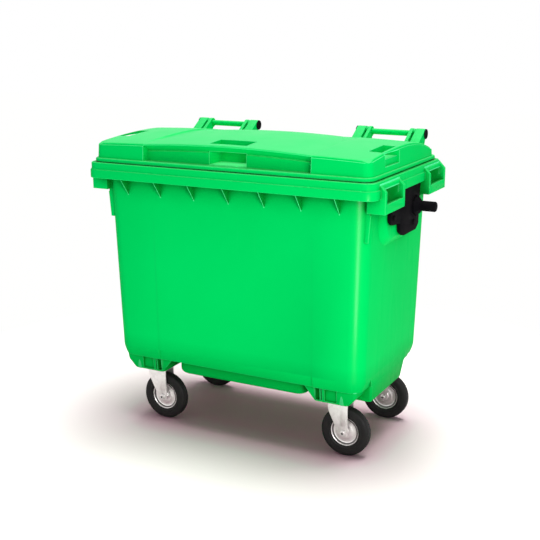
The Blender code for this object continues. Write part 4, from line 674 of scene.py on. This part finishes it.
def cornerFin(side):
    t, s = tubSizes, finSizes
    rootX, topZ = t["halfX"] - t["cornerR"] / 3, rimSizes["topZ"] - rimSizes["web"] + tubSizes["sink"]
    outline = [(rootX, s["footZ"]), (t["halfX"] - leanAt(s["footZ"]) + s["footReach"], s["footZ"]),
               (t["halfX"] + s["topReach"], topZ), (rootX, topZ)]
    near = t["frontY"] + s["inset"]
    return bevelled(prism("fin", [(side * x, z) for x, z in outline], "y", near, near + s["thick"]), 0.0012)


trunnionSizes = {"y": 0.086, "z": 0.965, "r": 0.02, "plate": 0.015, "coneR": 0.036, "cone": 0.024, "tipX": 0.685,
                 "bevel": 0.004, "backX": 0.5853, "boltR": 0.0063, "boltX": (0.55, 0.62),
                 "bolts": ((-0.235, -0.01), (-0.02, -0.062))}


def boltHoles(side):
    s = trunnionSizes
    low, high = side * s["boltX"][0], side * s["boltX"][1]
    places = [(0, s["y"] + alongY, s["z"] + alongZ) for alongY, alongZ in s["bolts"]]
    return joined("boltHoles", [rod("hole", s["boltR"], low, high, 6, "x", place) for place in places])


def buildTub():
    # the skin is one body before it is hollowed, so that no face is left inside it
    skin = combined(tubShell(), [*underBodies(), seatPad(-1), seatPad(1), cornerFin(-1), cornerFin(1)], "UNION")
    cutters = [*gripCutters(), *hollowBlocks(), rod("drainHole", 0.0243, -0.02, 0.02, centre=(0.14, 0.01, 0.2365))]
    for side in (-1, 1):
        cutters += [seatHollow(side), boltHoles(side)]
    pieces = [combined(skin, cutters), *rimRibs()]
    for side in (-1, 1):
        pieces += [casterPod(side, -1, podSizes["frontY"]), casterPod(side, 1, podSizes["backY"])]
        pieces += [gripLoop(side, gripSizes["frontY"]), gripLoop(side, gripSizes["backY"])]
        pieces += [hingeEar(side, *place) for place in earSlots()]
    return dressed(joined("binTub", pieces), "container", ["tub"], green)


binTub = buildTub()
print("tub ready")


lidSizes = {"halfX": 0.589, "frontY": -0.359, "backY": 0.323, "lean": 0.006, "cornerR": 0.032, "edgeR": 0.008,
            "shell": 0.0055, "crownZ": 1.217, "crownY": 0.0, "frontDrop": 0.0205, "backDrop": 0.054,
            "sideDrop": 0.007, "plateauX": 0.36, "padFrontY": 0.16, "padX": 0.2348, "step": 0.0075, "stepReach": 0.19,
            "dome": 0.0155, "domeFront": 0.012, "stepWidth": 0.01, "stepR": 0.11}
flangeSizes = {"halfX": 0.597, "frontY": -0.3715, "backY": 0.346, "topZ": 1.1318, "cornerR": 0.042, "seat": 0.012,
               "gap": 0.0033}
slotSizes = {"visorDrop": 0.028, "visorLip": 0.004, "recessBackY": -0.32, "frontHalfX": 0.08, "frontBackY": -0.235,
             "frontBar": 0.03, "frontFloor": 0.001, "sideFrontY": -0.218, "sideBackY": -0.072, "sideInnerX": 0.523,
             "sideBar": 0.009, "sideBarDrop": 0.0115, "sideFloor": 0.045, "nicheFloor": 0.0197, "nicheX": 0.578}


def smoothStep(value, low, high):
    share = min(max((value - low) / (high - low), 0.0), 1.0)
    return share * share * (3 - 2 * share)


def crown(y):
    s = lidSizes
    if y < s["crownY"]:
        return s["frontDrop"] * ((s["crownY"] - y) / (s["crownY"] - s["frontY"])) ** 2
    return s["backDrop"] * ((y - s["crownY"]) / (s["backY"] - s["crownY"])) ** 2.1


def domeOffset(x, y):
    s = lidSizes
    grown = min(max((y - s["frontY"]) / s["stepReach"], 0.0), 1.0)
    rise = s["domeFront"] + (s["dome"] - s["domeFront"]) * grown
    share = min(abs(x) / s["plateauX"], 1.0)
    return rise * (1 - share ** 2) - s["step"] * grown


def topEdges(inset):
    s = lidSizes
    gap = s["lean"] + inset
    return s["halfX"] - gap, s["frontY"] + gap, s["backY"] - gap


def edgeDistance(x, y, inset):
    halfX, y0, y1 = topEdges(inset)
    radius = lidSizes["cornerR"]
    overX = abs(x) - (halfX - radius)
    overY = abs(y - (y0 + y1) / 2) - ((y1 - y0) / 2 - radius)
    return radius - math.hypot(max(overX, 0.0), max(overY, 0.0)) - min(max(overX, overY), 0.0)


def lidHeight(x, y, inset=0.0):
    s = lidSizes
    side = max(abs(x) - s["plateauX"], 0.0) / (s["halfX"] - s["plateauX"])
    plain = s["crownZ"] - crown(y)
    high = plain - s["sideDrop"] * side ** 1.5
    low = plain + domeOffset(x, y)
    width = s["stepWidth"]
    # the ends are raised, and so are the pads that run back to the hinges; the step between them is rounded
    overX, overY = abs(x) - s["plateauX"] + s["stepR"], y - s["padFrontY"] + s["stepR"]
    past = min(max(overX, overY), 0.0) + math.hypot(max(overX, 0.0), max(overY, 0.0)) - s["stepR"]
    top = low + (high - low) * smoothStep(min(past, abs(x) - s["padX"]), -width / 2, width / 2)
    short = s["edgeR"] - min(max(edgeDistance(x, y, inset), 0.0), s["edgeR"])
    return top - s["edgeR"] + math.sqrt(s["edgeR"] ** 2 - short ** 2)


def spread(start, end, pitch):
    count = max(1, round((end - start) / pitch))
    return [start + (end - start) * step / count for step in range(count)]


def lidGrid(inset, fine):
    s = lidSizes
    halfX, y0, y1 = topEdges(inset)
    edge = (1.0, 0.72, 0.45, 0.24, 0.09, 0.0) if fine else (1.0, 0.4, 0.0)
    pitch, dense = (0.022, 0.006) if fine else (0.06, 0.03)
    w = s["stepWidth"] / 2
    steps = [w * share for share in ((-1, -0.6, -0.2, 0.2, 0.6, 1) if fine else (-1, 1))]
    right = spread(0.0, s["padX"] - w, pitch) + [s["padX"] + step for step in steps]
    right += spread(s["padX"] + w * 1.5, s["plateauX"] - w, dense) + [s["plateauX"] + step for step in steps]
    right += spread(s["plateauX"] + w * 1.8, halfX - s["edgeR"], pitch)
    right += [halfX - s["edgeR"] * share for share in edge] + [halfX + s["lean"] * 2]
    xs = sorted([-x for x in right if x > 0] + right)
    bend = s["padFrontY"] - s["stepR"] - w
    ys = [y0 - s["lean"] * 2] + [y0 + s["edgeR"] * share for share in reversed(edge)]
    ys += spread(y0 + s["edgeR"], bend, pitch)[1:] + spread(bend, s["padFrontY"] - w, dense)
    ys += [s["padFrontY"] + step for step in steps]
    ys += spread(s["padFrontY"] + w, y1 - s["edgeR"], pitch)[1:] + [y1 - s["edgeR"] * share for share in edge]
    return xs, ys + [y1 + s["lean"] * 2]


def heightBlock(xs, ys, top, lowZ):
    form = bmesh.new()
    rows = [[form.verts.new((x, y, top(x, y))) for x in xs] for y in ys]
    for low, high in zip(rows, rows[1:]):
        for index in range(len(xs) - 1):
            form.faces.new((low[index], low[index + 1], high[index + 1], high[index]))
    edge = rows[0][:-1] + [row[-1] for row in rows[:-1]] + rows[-1][:0:-1] + [row[0] for row in rows[:0:-1]]
    foot = [form.verts.new((vert.co.x, vert.co.y, lowZ)) for vert in edge]
    for index in range(len(edge)):
        after = (index + 1) % len(edge)
        form.faces.new((edge[after], edge[index], foot[index], foot[after]))
    form.faces.new(foot)
    return toObject("lidTop", form)


def lidSides(inset, lowZ, steps):
    s = lidSizes
    radius = max(s["cornerR"] - inset, s["edgeR"])
    levels = ((0, lowZ), (0, flangeSizes["topZ"]), (s["lean"], s["crownZ"] + 0.03))
    return loft("lidSides", [insetRing(s, inset + lean, radius, steps, z) for lean, z in levels])


def lidBody(inset, lowZ, fine):
    body = heightBlock(*lidGrid(inset, fine), lambda x, y: lidHeight(x, y, inset) - inset, lowZ - 0.01)
    return combined(body, [lidSides(inset, lowZ, 12 if fine else 5)], "INTERSECT")


def visorEdge(x):
    return lidSizes["crownZ"] - lidSizes["frontDrop"] + domeOffset(x, lidSizes["frontY"])


def recessCutter(margin):
    s, f, c = lidSizes, flangeSizes, slotSizes
    pastY, pastZ, lip = f["frontY"] - 0.01, s["crownZ"] + 0.03, c["visorLip"]
    front, back = s["frontY"] + s["lean"] + margin, c["recessBackY"] + margin
    low, steps = f["topZ"] - margin, 32
    rings = []
    for step in range(steps + 1):
        x = (s["plateauX"] + margin) * (2 * step / steps - 1)
        edge = visorEdge(x)
        roof = edge - c["visorDrop"]
        rings.append([(x, y, z) for y, z in (
            (pastY, pastZ), (front, pastZ), (front, edge - lip + margin), (back, roof + margin / 2),
            (back - lip, roof - lip), (back - lip, low), (pastY, low))])
    return loft("recess", rings)


def frontSlot(margin):
    s, f, c = lidSizes, flangeSizes, slotSizes
    bar, back = s["frontY"] + s["lean"] + c["frontBar"] - margin, c["frontBackY"] + margin
    pastY, pastZ = s["frontY"] - 0.01, s["crownZ"] + 0.03
    roof = visorEdge(c["frontHalfX"]) - c["visorDrop"] + margin
    low = f["topZ"] + c["frontFloor"] - margin
    outline = [(pastY, low), (back, low), (back, pastZ), (bar, pastZ), (bar, roof), (pastY, roof)]
    return prism("frontSlot", outline, "x", -c["frontHalfX"] - margin, c["frontHalfX"] + margin)


def sideSlot(side, margin):
    s, f, c = lidSizes, flangeSizes, slotSizes
    bar, inner = s["halfX"] - s["lean"] - c["sideBar"] + margin, c["sideInnerX"] - margin
    pastX, pastZ = s["halfX"] + 0.01, s["crownZ"] + 0.01
    roof = s["crownZ"] - s["sideDrop"] - c["sideBarDrop"] + margin
    low = f["topZ"] + c["sideFloor"] - margin
    nicheLow, nicheX = f["topZ"] + c["nicheFloor"] - margin, c["nicheX"] - margin
    outline = [(pastX, nicheLow), (nicheX, nicheLow), (nicheX, low), (inner, low), (inner, pastZ), (bar, pastZ),
               (bar, roof), (pastX, roof)]
    return prism("sideSlot", [(side * x, z) for x, z in outline], "y", c["sideFrontY"] - margin,
                 c["sideBackY"] + margin)


def slots(margin):
    return [recessCutter(margin), frontSlot(margin), sideSlot(-1, margin), sideSlot(1, margin)]


def lidFlange():
    f, rimZ = flangeSizes, rimSizes["topZ"]
    keys = [((f["seat"], rimZ + 0.0003), 0), ((f["seat"], rimZ + f["gap"]), 0.001), ((0.0, rimZ + f["gap"]), 0.0022),
            ((0.0, f["topZ"]), 0.0055), ((0.03, f["topZ"]), 0)]
    return loft("lidFlange", [insetRing(f, inset, max(f["cornerR"] - inset, 0.012), 12, z)
                              for inset, z in filletPath(*zip(*keys), 4)])


def armPlaces():
    h = hingeSizes
    (inner, innerEnd), (outerEnd, outer) = earSlots()
    return ((inner - h["armWidth"], inner), (innerEnd, innerEnd + h["thin"]), (outerEnd - h["thin"], outerEnd),
            (outer, outer + h["armWidth"]))


def hingeArm(side, x0, x1):
    h, f = hingeSizes, flangeSizes
    outline = [(h["armFootY"], h["armFootZ"]), (h["armFootY"], f["topZ"] + 0.004),
               (f["backY"] - 0.0055, f["topZ"] - 0.0012), (h["y"], h["z"] - h["r"]),
               *arc((h["y"], h["z"]), h["r"], -80, h["topDegrees"], 24)]
    arm = prism("arm", outline, "x", *onSide(side, x0, x1))
    return bevelled(combined(arm, [hingeBore(side, x0, x1, 2 * h["gap"])]), 0.0014, 2, 35)


def buildLid():
    s, f, gap = lidSizes, flangeSizes, hingeSizes["gap"]
    body = combined(lidBody(0.0, f["topZ"] - 0.006, True), [lidFlange()], "UNION")
    cutters = [combined(lidBody(s["shell"], rimSizes["topZ"] - 0.01, False), slots(s["shell"])), *slots(0)]
    for side in (-1, 1):
        for x0, x1 in earSlots():
            cutters.append(block("earNotch", *onSide(side, x0 - gap, x1 + gap), s["backY"] + 0.0036,
                                 f["backY"] + 0.01, rimSizes["topZ"] - 0.01, s["crownZ"]))
    combined(body, cutters)
    arms = [hingeArm(side, *place) for side in (-1, 1) for place in armPlaces()]
    return dressed(joined("binLid", [body, *arms]), "lid", ["lid"], greenLid, 30)


buildLid()
print("lid ready")


def buildHinges():
    h = hingeSizes
    gap, capR, stem = h["gap"], h["capR"], h["tubeBore"] - h["gap"]
    low, high = h["innerX"] + h["cap"] + gap, h["outerX"] - h["cap"] - gap
    half, under = (high - low) / 2, gap - h["cap"]
    profile = [(0.0, under - h["capStem"]), (stem, under - h["capStem"]), (stem, under), (capR, under), (capR, 0.0),
               (capR * 0.72, 0.0), (capR * 0.62, under / 2.4), (0.0, under / 2.4)]
    profile = filletPath(profile, [0, 0.001, 0.0004, 0.001, 0.0018, 0.0012, 0.0012, 0])
    for side, label in ((-1, "left"), (1, "right")):
        pipe = tube(f"hingeTube_{label}", h["tubeBore"], h["tubeR"], -half, half, 0.0008, 48, "x",
                    (side * (low + high) / 2, h["y"], h["z"]))
        dressed(pipe, "container", [f"hinge_tube_{label}"], greenLid)
        for place, x, away in (("inner", h["innerX"], -1), ("outer", h["outerX"], 1)):
            cap = turned(f"hingeCap_{label}_{place}", [(radius, height * side * away) for radius, height in profile],
                         48, "x", (side * x, h["y"], h["z"]))
            dressed(cap, "container", [f"hinge_cap_{label}_{place}"], black)


buildHinges()
print("hinges ready")


def bracketOutline():
    s = trunnionSizes
    coneR, r = s["coneR"], s["r"]
    right, left = s["y"] + coneR * 1.35, s["y"] - coneR * 4.6
    low, waist = seatSizes["bottomZ"] - 0.0024, s["z"] + coneR
    lobe, shoulder = left - coneR * 2.7, waist - r / 3
    top = seatSizes["topZ"]
    return [(s["y"] - coneR * 3.5, top), (gripSizes["backY"] - 0.003, top), (right, waist), (right - r / 4, low + r),
            (right - r * 1.6, low), (left + r * 2.2, low), (left + r * 0.4, low + r), (left, low + r * 2.8),
            (left - coneR * 2, low + r * 3), (lobe, low + r * 3.8), (lobe, low + r * 5.4),
            (left - coneR * 1.9, shoulder), (left + coneR * 0.8, shoulder), (left + coneR * 1.4, waist + r / 2)]


def buildTrunnions():
    s = trunnionSizes
    faceX, r, tipX, bevel = s["backX"] + s["plate"], s["r"], s["tipX"], s["bevel"]
    hub = [(0.0, faceX - 0.006), (s["coneR"] * 1.16, faceX - 0.006), (s["coneR"] * 1.16, faceX + 0.008),
           (r * 1.25, faceX + s["cone"]), (0.0, faceX + s["cone"])]
    pin = [(0.0, faceX), (r, faceX), (r, tipX - bevel), (r - bevel, tipX), (0.0, tipX)]
    pin = filletPath(pin, [0, 0, 0.002, 0.002, 0])
    for side, label in ((-1, "left"), (1, "right")):
        plate = prism("plate", filletLoop(bracketOutline(), 0.008), "x", *onSide(side, s["backX"], faceX))
        pieces = [bevelled(combined(plate, [boltHoles(side)]), 0.0024, 2, 50)]
        for profile, segments in ((hub, 6), (pin, 64)):
            pieces.append(turned("pin", [(radius, side * height) for radius, height in profile], segments, "x",
                                 (0, s["y"], s["z"])))
        bevelled(pieces[1], 0.0018)
        dressed(joined(f"trunnionBracket_{label}", pieces), "container", [f"trunnion_{label}"], black)
        smoothCopy(f"trunnion_backing_{label}", f"backingStrip_{label}", steel, 0.0006)
        for place in ("lobe", "foot"):
            smoothCopy(f"trunnion_bolt_{label}_{place}", f"bracketBolt_{label}_{place}", black, 0.0005)


buildTrunnions()
print("trunnions ready")


casterSizes = {"x": 0.4186, "frontY": -0.1876, "backY": 0.24, "trail": 0.024, "wheelR": 0.1, "tyreWidth": 0.044,
               "discR": 0.058, "rimHalf": 0.015, "disc": 0.003, "dish": 0.008, "hubR": 0.018,
               "hubHalf": 0.026, "hubIn": 0.0121, "forkInner": 0.0285, "sheet": 0.0035, "forkTopZ": 0.226,
               "crownR": 0.043, "pinHole": 0.0085, "legTop": 0.042, "legFoot": 0.02, "shoulderZ": 0.188,
               "axleR": 0.006, "gap": 0.0003, "foldX": 0.0105, "nut": 0.007, "washer": 0.0018,
               "bearing": (0.0087, 0.0115, -0.0256, 0.0256), "sleeve": (0.0064, 0.008, -0.028, 0.028)}
raceSizes = {"inner": 0.0312, "outer": 0.0375, "lowZ": 0.2263, "highZ": 0.2354, "ring": 0.003,
             "ballR": 0.0029, "pathR": 0.0343, "balls": 24}
plateSizes = {"halfX": 0.045, "halfY": 0.0525, "cornerR": 0.008, "lowZ": 0.2357, "highZ": 0.2397, "pinHole": 0.0083,
              "boltX": 0.032, "boltY": 0.04, "headR": 0.0085, "headZ": (0.2307, 0.2349), "boltR": 0.0045,
              "boltTopZ": 0.25, "washer": (0.0044, 0.0095, 0.2347, 0.236)}


def mirroredProfile(side, rounding, ends=()):
    # one side of a wheel's section, then the same on the other side
    profile = [*ends, *side, *((radius, -height) for radius, height in reversed(side)),
               *((radius, -height) for radius, height in ends)]
    none = [0] * len(ends)
    return filletPath(profile, none + rounding + rounding[::-1] + none, 2)


def tyreMesh():
    s = casterSizes
    edge, half, inner, outer = s["tyreWidth"] / 2, s["rimHalf"], s["discR"] + s["gap"], s["wheelR"]
    side = [(inner, -half), (inner + 0.004, -edge + 0.002), (inner + 0.008, -edge), (inner + 0.0135, -edge),
            (inner + 0.0145, -edge + 0.001), (inner + 0.016, -edge + 0.001), (inner + 0.017, -edge),
            (outer - 0.012, -edge + 0.0004), (outer - 0.004, -edge + 0.003), (outer, -edge + 0.01),
            (outer, -0.0085), (outer - 0.0012, -0.0078), (outer - 0.0012, -0.0062), (outer, -0.0055)]
    fine = 0.0005
    rounding = [0, 0.002, 0.003, fine, fine, fine, fine, 0.004, 0.005, 0.005, fine, fine, fine, fine]
    return turned("tyre", mirroredProfile(side, rounding), 96, "y")


def rimMesh():
    # pressed disc: hub tube, dished web, a groove that the zinc finish paints dark as shade, and a thin bright lip
    s = casterSizes
    dish, half, outer, hubIn = s["dish"] + s["disc"], s["rimHalf"], s["discR"], s["hubIn"]
    side = [(hubIn + 0.0026, -s["hubHalf"]), (hubIn + 0.0026, -dish - 0.002), (s["hubR"], -dish),
            (0.03, -dish + 0.0005), (0.034, -dish + 0.002), (0.045, -dish + 0.003), (0.049, -dish + 0.001),
            (0.05, -s["disc"]), (0.0535, -s["disc"]), (0.0548, -half + 0.002), (outer - 0.0012, -half),
            (outer, -half)]
    rounding = [0, 0.002, 0.002, 0.002, 0.002, 0.002, 0.001, 0.001, 0.001, 0.001, 0.0005, 0]
    return turned("rim", mirroredProfile(side, rounding, [(hubIn, -s["hubHalf"])]), 96, "y")


def forkMesh():
    # crown and legs of one pressed sheet, with a fold down each leg
    s = casterSizes
    top, sheet, legTop, wheelR = s["forkTopZ"], s["sheet"], s["legTop"], s["wheelR"]
    reach = s["forkInner"] + sheet
    crownRing = tube("fork", s["pinHole"], s["crownR"], top - sheet, top, 0, 64)
    bridge = prism("bridge", roundedOutline(-legTop, legTop, -reach, reach, 0.0035, 4), "z", top - sheet, top)
    combined(bridge, [rod("hole", s["pinHole"], top - 0.02, top + 0.02)])
    parts = [bevelled(crownRing, 0.001, 2, 40), bevelled(bridge, 0.0009, 2, 40)]
    outline = [(-legTop, top - 0.0004), (-legTop, s["shoulderZ"]),
               *arc((s["trail"], wheelR), s["legFoot"], 190, 350, 12),
               (legTop, s["shoulderZ"]), (legTop, top - 0.0004)]
    outline = filletLoop(outline, [0.002, 0.02] + [0] * 13 + [0.012, 0.002], 4)
    # upright fold, with the sheet beyond it a little further out
    foldX, edgeX = s["foldX"], legTop - 0.0015
    fold = [(foldX, top - 0.004), (foldX, wheelR + 0.034), (foldX + 0.008, wheelR + 0.026),
            (legTop - 0.004, wheelR + 0.03), (edgeX, s["shoulderZ"] - 0.006), (edgeX, top - 0.004)]
    for side in (-1, 1):
        leg = prism("leg", outline, "y", *onSide(side, s["forkInner"], reach))
        combined(leg, [rod("axle", s["axleR"] + s["gap"], -0.1, 0.1, 32, "y", (s["trail"], 0, wheelR))])
        folded = prism("fold", fold, "y", *onSide(side, reach - 0.001, reach + 0.0014))
        parts += [bevelled(leg, 0.001, 2, 40), bevelled(folded, 0.0009, 2, 40)]
    return joined("fork", parts)


def axleBoltMesh():
    s = casterSizes
    face = s["forkInner"] + s["sheet"] + s["gap"]
    end = face + s["washer"] + s["nut"]
    profile = [(0.0, -end + 0.0075), (0.0044, -end + 0.0075), (0.005, -end), (0.01, -end),
               (0.01, -face - s["washer"]), (0.013, -face - s["washer"]), (0.013, -face), (s["axleR"], -face),
               (s["axleR"], end), (0.0, end)]
    radii = [0, 0.0005, 0.0008, 0.0015, 0.0004, 0.0005, 0.0005, 0.0004, 0.001, 0]
    return turned("axleBolt", filletPath(profile, radii, 2), 32, "y")


def hexNutMesh():
    s = casterSizes
    face = s["forkInner"] + s["sheet"] + s["gap"]
    return bevelled(tube("axleNut", s["axleR"] + s["gap"], 0.0098, face, face + s["nut"], 0, 6, "y"), 0.0006, 2, 40)


def ballRace(name, x, y):
    # two pressed rings with the balls between them
    s = raceSizes
    rings = [tube("ring", s["inner"], s["outer"], low, low + s["ring"], 0.0008)
             for low in (s["lowZ"], s["highZ"] - s["ring"])]
    form = bmesh.new()
    bmesh.ops.create_uvsphere(form, u_segments=10, v_segments=6, radius=s["ballR"])
    bmesh.ops.translate(form, verts=form.verts, vec=(s["pathR"], 0, (s["lowZ"] + s["highZ"]) / 2))
    ball = toObject("ball", form)
    balls = repeated(ball, s["balls"], (0, 0, 0), (0, 0, 0), (0, 0, math.tau / s["balls"]), steel)
    race = joined(name, rings + [balls])
    race.data.transform(Matrix.Translation((x, y, 0)))
    return race


def platePiece(name, x, y):
    # the plate with its four bolt heads and washers
    s = plateSizes
    outline = roundedOutline(-s["halfX"], s["halfX"], -s["halfY"], s["halfY"], s["cornerR"], 6)
    plate = combined(prism("plate", outline, "z", s["lowZ"], s["highZ"]), [rod("hole", s["pinHole"], 0.22, 0.26)])
    low, high = s["headZ"]
    head = [(0.0, low), (s["headR"], low), (s["headR"], high), (s["boltR"], high), (s["boltR"], s["boltTopZ"]),
            (0.0, s["boltTopZ"])]
    bolt = bevelled(turned("bolt", head, 6), 0.0006, 2, 40)
    corner = joined("corner", [bolt, tube("washer", *s["washer"], 0.0003, 32)])
    row = repeated(corner, 2, (-s["boltX"], -s["boltY"], 0), (2 * s["boltX"], 0, 0), (0, 0, 0), zinc)
    bolts = repeated(row, 2, (0, 0, 0), (0, 2 * s["boltY"], 0), (0, 0, 0), zinc)
    whole = joined(name, [bevelled(plate, 0.0008, 2, 40), bolts])
    whole.data.transform(Matrix.Translation((x, y, 0)))
    return whole


def buildCasters():
    s = casterSizes
    kinds = ((tyreMesh(), "tyre", "wheel", rubber), (rimMesh(), "wheel_rim", "wheel", zinc),
             (tube("bearing", *s["bearing"], 0.0006, 48, "y"), "bearing", "wheel", black),
             (tube("sleeve", *s["sleeve"], 0.0006, 48, "y"), "axle_sleeve", "swivel", steel),
             (axleBoltMesh(), "axle_bolt", "swivel", zinc), (hexNutMesh(), "axle_nut", "swivel", zinc),
             (forkMesh(), "fork", "swivel", zinc))
    for corner, x, y in (("front_left", -s["x"], s["frontY"]), ("front_right", s["x"], s["frontY"]),
                         ("rear_left", -s["x"], s["backY"]), ("rear_right", s["x"], s["backY"])):
        node = f"caster_{corner}"
        for source, label, body, finish in kinds:
            mesh = source.data.copy()
            centre = (x, y, 0) if label == "fork" else (x + s["trail"], y, s["wheelR"])
            mesh.transform(Matrix.Translation(centre))
            dressed(placed(f"{label}_{corner}", mesh), f"{body}_{corner}", [f"{node}_{label}"], finish)
        dressed(platePiece(f"plate_{corner}", x, y), "container", [f"{node}_plate"], zinc)
        dressed(ballRace(f"ballRace_{corner}", x, y), "container", [f"{node}_ball_race"], steel)
        smoothCopy(f"{node}_king_pin", f"kingPin_{corner}", steel, 0.0005)
    for source, *_ in kinds:
        bpy.data.objects.remove(source, do_unlink=True)


buildCasters()
print("casters ready")

smoothCopy("drain_plug", "drainPlug", black, 0.0006)
smoothCopy("drain_seal", "drainSeal", rubber)


cameraSizes = {"lens": 66.484, "sensor": 36, "place": (1.86323, -3.54947, 1.67962),
               "ahead": (-0.44824, 0.85867, -0.24852), "up": (-0.11364, 0.22102, 0.96863),
               "shiftX": -0.33 / 540, "shiftY": 0.93 / 540}


def addCamera():
    c = cameraSizes
    data = bpy.data.cameras.new("camera")
    data.sensor_width, data.lens = c["sensor"], c["lens"]
    data.shift_x, data.shift_y = c["shiftX"], c["shiftY"]
    ahead = Vector(c["ahead"]).normalized()
    right = ahead.cross(Vector(c["up"])).normalized()
    turn = Matrix((right, right.cross(ahead), -ahead)).transposed().to_4x4()
    scene.camera = placed("camera", data)
    scene.camera.matrix_world = Matrix.Translation(c["place"]) @ turn


floorSizes = {"reach": 14, "box": (0.36, 0.12, 0), "under": (1.0, 0.44, 0.63), "near": (0.83, 0.715, 0.735),
              "plain": (0.83, 0.8, 0.785), "warm": (0.0, 0.25), "cool": (0.3, 0.75), "white": (0.8, 1.9)}


def floorFinish():
    s = floorSizes
    f = Finish("paleFloor")
    f.shader["Roughness"].default_value = 0.75
    f.shader["Specular IOR Level"].default_value = 0.15
    # painted shadow tint: the floor's colour is painted pinker and warmer under the container and near it, to cancel
    # the green light the container throws on it, so that its shadow reads warm grey
    past = f.add("ShaderNodeVectorMath", {0: f.place}, operation="ABSOLUTE")
    past = f.add("ShaderNodeVectorMath", {0: past, 1: s["box"]}, operation="SUBTRACT")
    past = f.add("ShaderNodeVectorMath", {0: past, 1: (0, 0, 0)}, operation="MAXIMUM")
    past = f.add("ShaderNodeVectorMath", {0: past}, "Value", operation="LENGTH")
    near = f.blended(f.ranged(past, *s["warm"]), s["under"], s["near"])
    f.give("Base Color", f.blended(f.ranged(past, *s["cool"]), near, s["plain"]))
    # far away the floor goes over into the white background
    far = f.add("ShaderNodeVectorMath", {0: f.place}, "Value", operation="LENGTH")
    seen = f.add("ShaderNodeMath", {0: f.ranged(far, *s["white"]), 1: f.straightRays()}, operation="MULTIPLY")
    white = f.add("ShaderNodeEmission", {"Color": (1, 1, 0.995, 1)})
    mix = f.add("ShaderNodeMixShader", {0: seen, 1: f.nodes["Principled BSDF"].outputs[0], 2: white})
    f.join(mix, f.nodes["Material Output"].inputs["Surface"])
    return f.made


def addFloor():
    form = bmesh.new()
    bmesh.ops.create_grid(form, x_segments=2, y_segments=2, size=floorSizes["reach"])
    floor = toObject("floor", form)
    floor.data.materials.append(floorFinish())
    return floor


lightSizes = {
    "top": {"place": (0.3, 0.5, 6.5), "aim": (0, 0, 0.4), "size": (4.0, 4.0), "power": 340, "lights": "all"},
    "ground": {"place": (0.2, 0.3, 6.0), "aim": (0, 0, 0), "size": (4.0, 4.0), "power": 360, "lights": "floor"},
    "side": {"place": (2.4, -2.7, 1.7), "aim": (0.3, 0, 0.7), "size": (1.2, 1.2), "power": 56, "lights": "object"},
    "strip": {"place": (1.8, -1.33, 0.62), "aim": (0.56, -0.32, 0.62), "size": (0.2, 1.0), "power": 7,
              "lights": "object"},
    "front": {"place": (-2.6, -4.4, 2.2), "aim": (0, 0, 0.6), "size": (2.4, 2.4), "power": 12, "lights": "object"},
    "gleam": {"place": (1.33, -1.36, 0.33), "aim": (0.52, -0.31, 0.62), "size": (0.42, 0.9), "power": 900,
              "lights": "tub"}}


def addLights(floor):
    # the low lamps leave the floor out, so its shadow comes from above alone
    spared = {}
    for kind, thing, state in (("floor", floor, "INCLUDE"), ("object", floor, "EXCLUDE"), ("tub", binTub, "INCLUDE")):
        spared[kind] = bpy.data.collections.new(kind + "Light")
        spared[kind].objects.link(thing)
        spared[kind].collection_objects[0].light_linking.link_state = state
    for name, s in lightSizes.items():
        data = bpy.data.lights.new(name, "AREA")
        data.shape = "RECTANGLE"
        data.size, data.size_y = s["size"]
        data.energy = s["power"]
        lamp = placed(name, data)
        lamp.location = s["place"]
        lamp.rotation_euler = (Vector(s["aim"]) - lamp.location).to_track_quat("-Z", "Y").to_euler()
        lamp.visible_camera = False
        lamp.visible_diffuse = name != "gleam"  # this one is only seen as a reflection
        if s["lights"] in spared:
            lamp.light_linking.receiver_collection = spared[s["lights"]]


def addSky():
    # soft white from all round, and plain white where the camera looks past the floor
    scene.world = bpy.data.worlds.new("studio")
    scene.world.use_nodes = True
    steps = Steps(scene.world.node_tree)
    soft = steps.nodes["Background"]
    soft.inputs["Color"].default_value = (1, 1, 1, 1)
    soft.inputs["Strength"].default_value = 0.3
    white = steps.add("ShaderNodeBackground", {"Color": (1, 1, 1, 1), "Strength": 1.0})
    mix = steps.add("ShaderNodeMixShader", {0: steps.straightRays(), 1: soft.outputs[0], 2: white})
    steps.join(mix, steps.nodes["World Output"].inputs["Surface"])


addCamera()
addLights(addFloor())
addSky()
scene.view_settings.view_transform = "Standard"
print("camera and light ready")
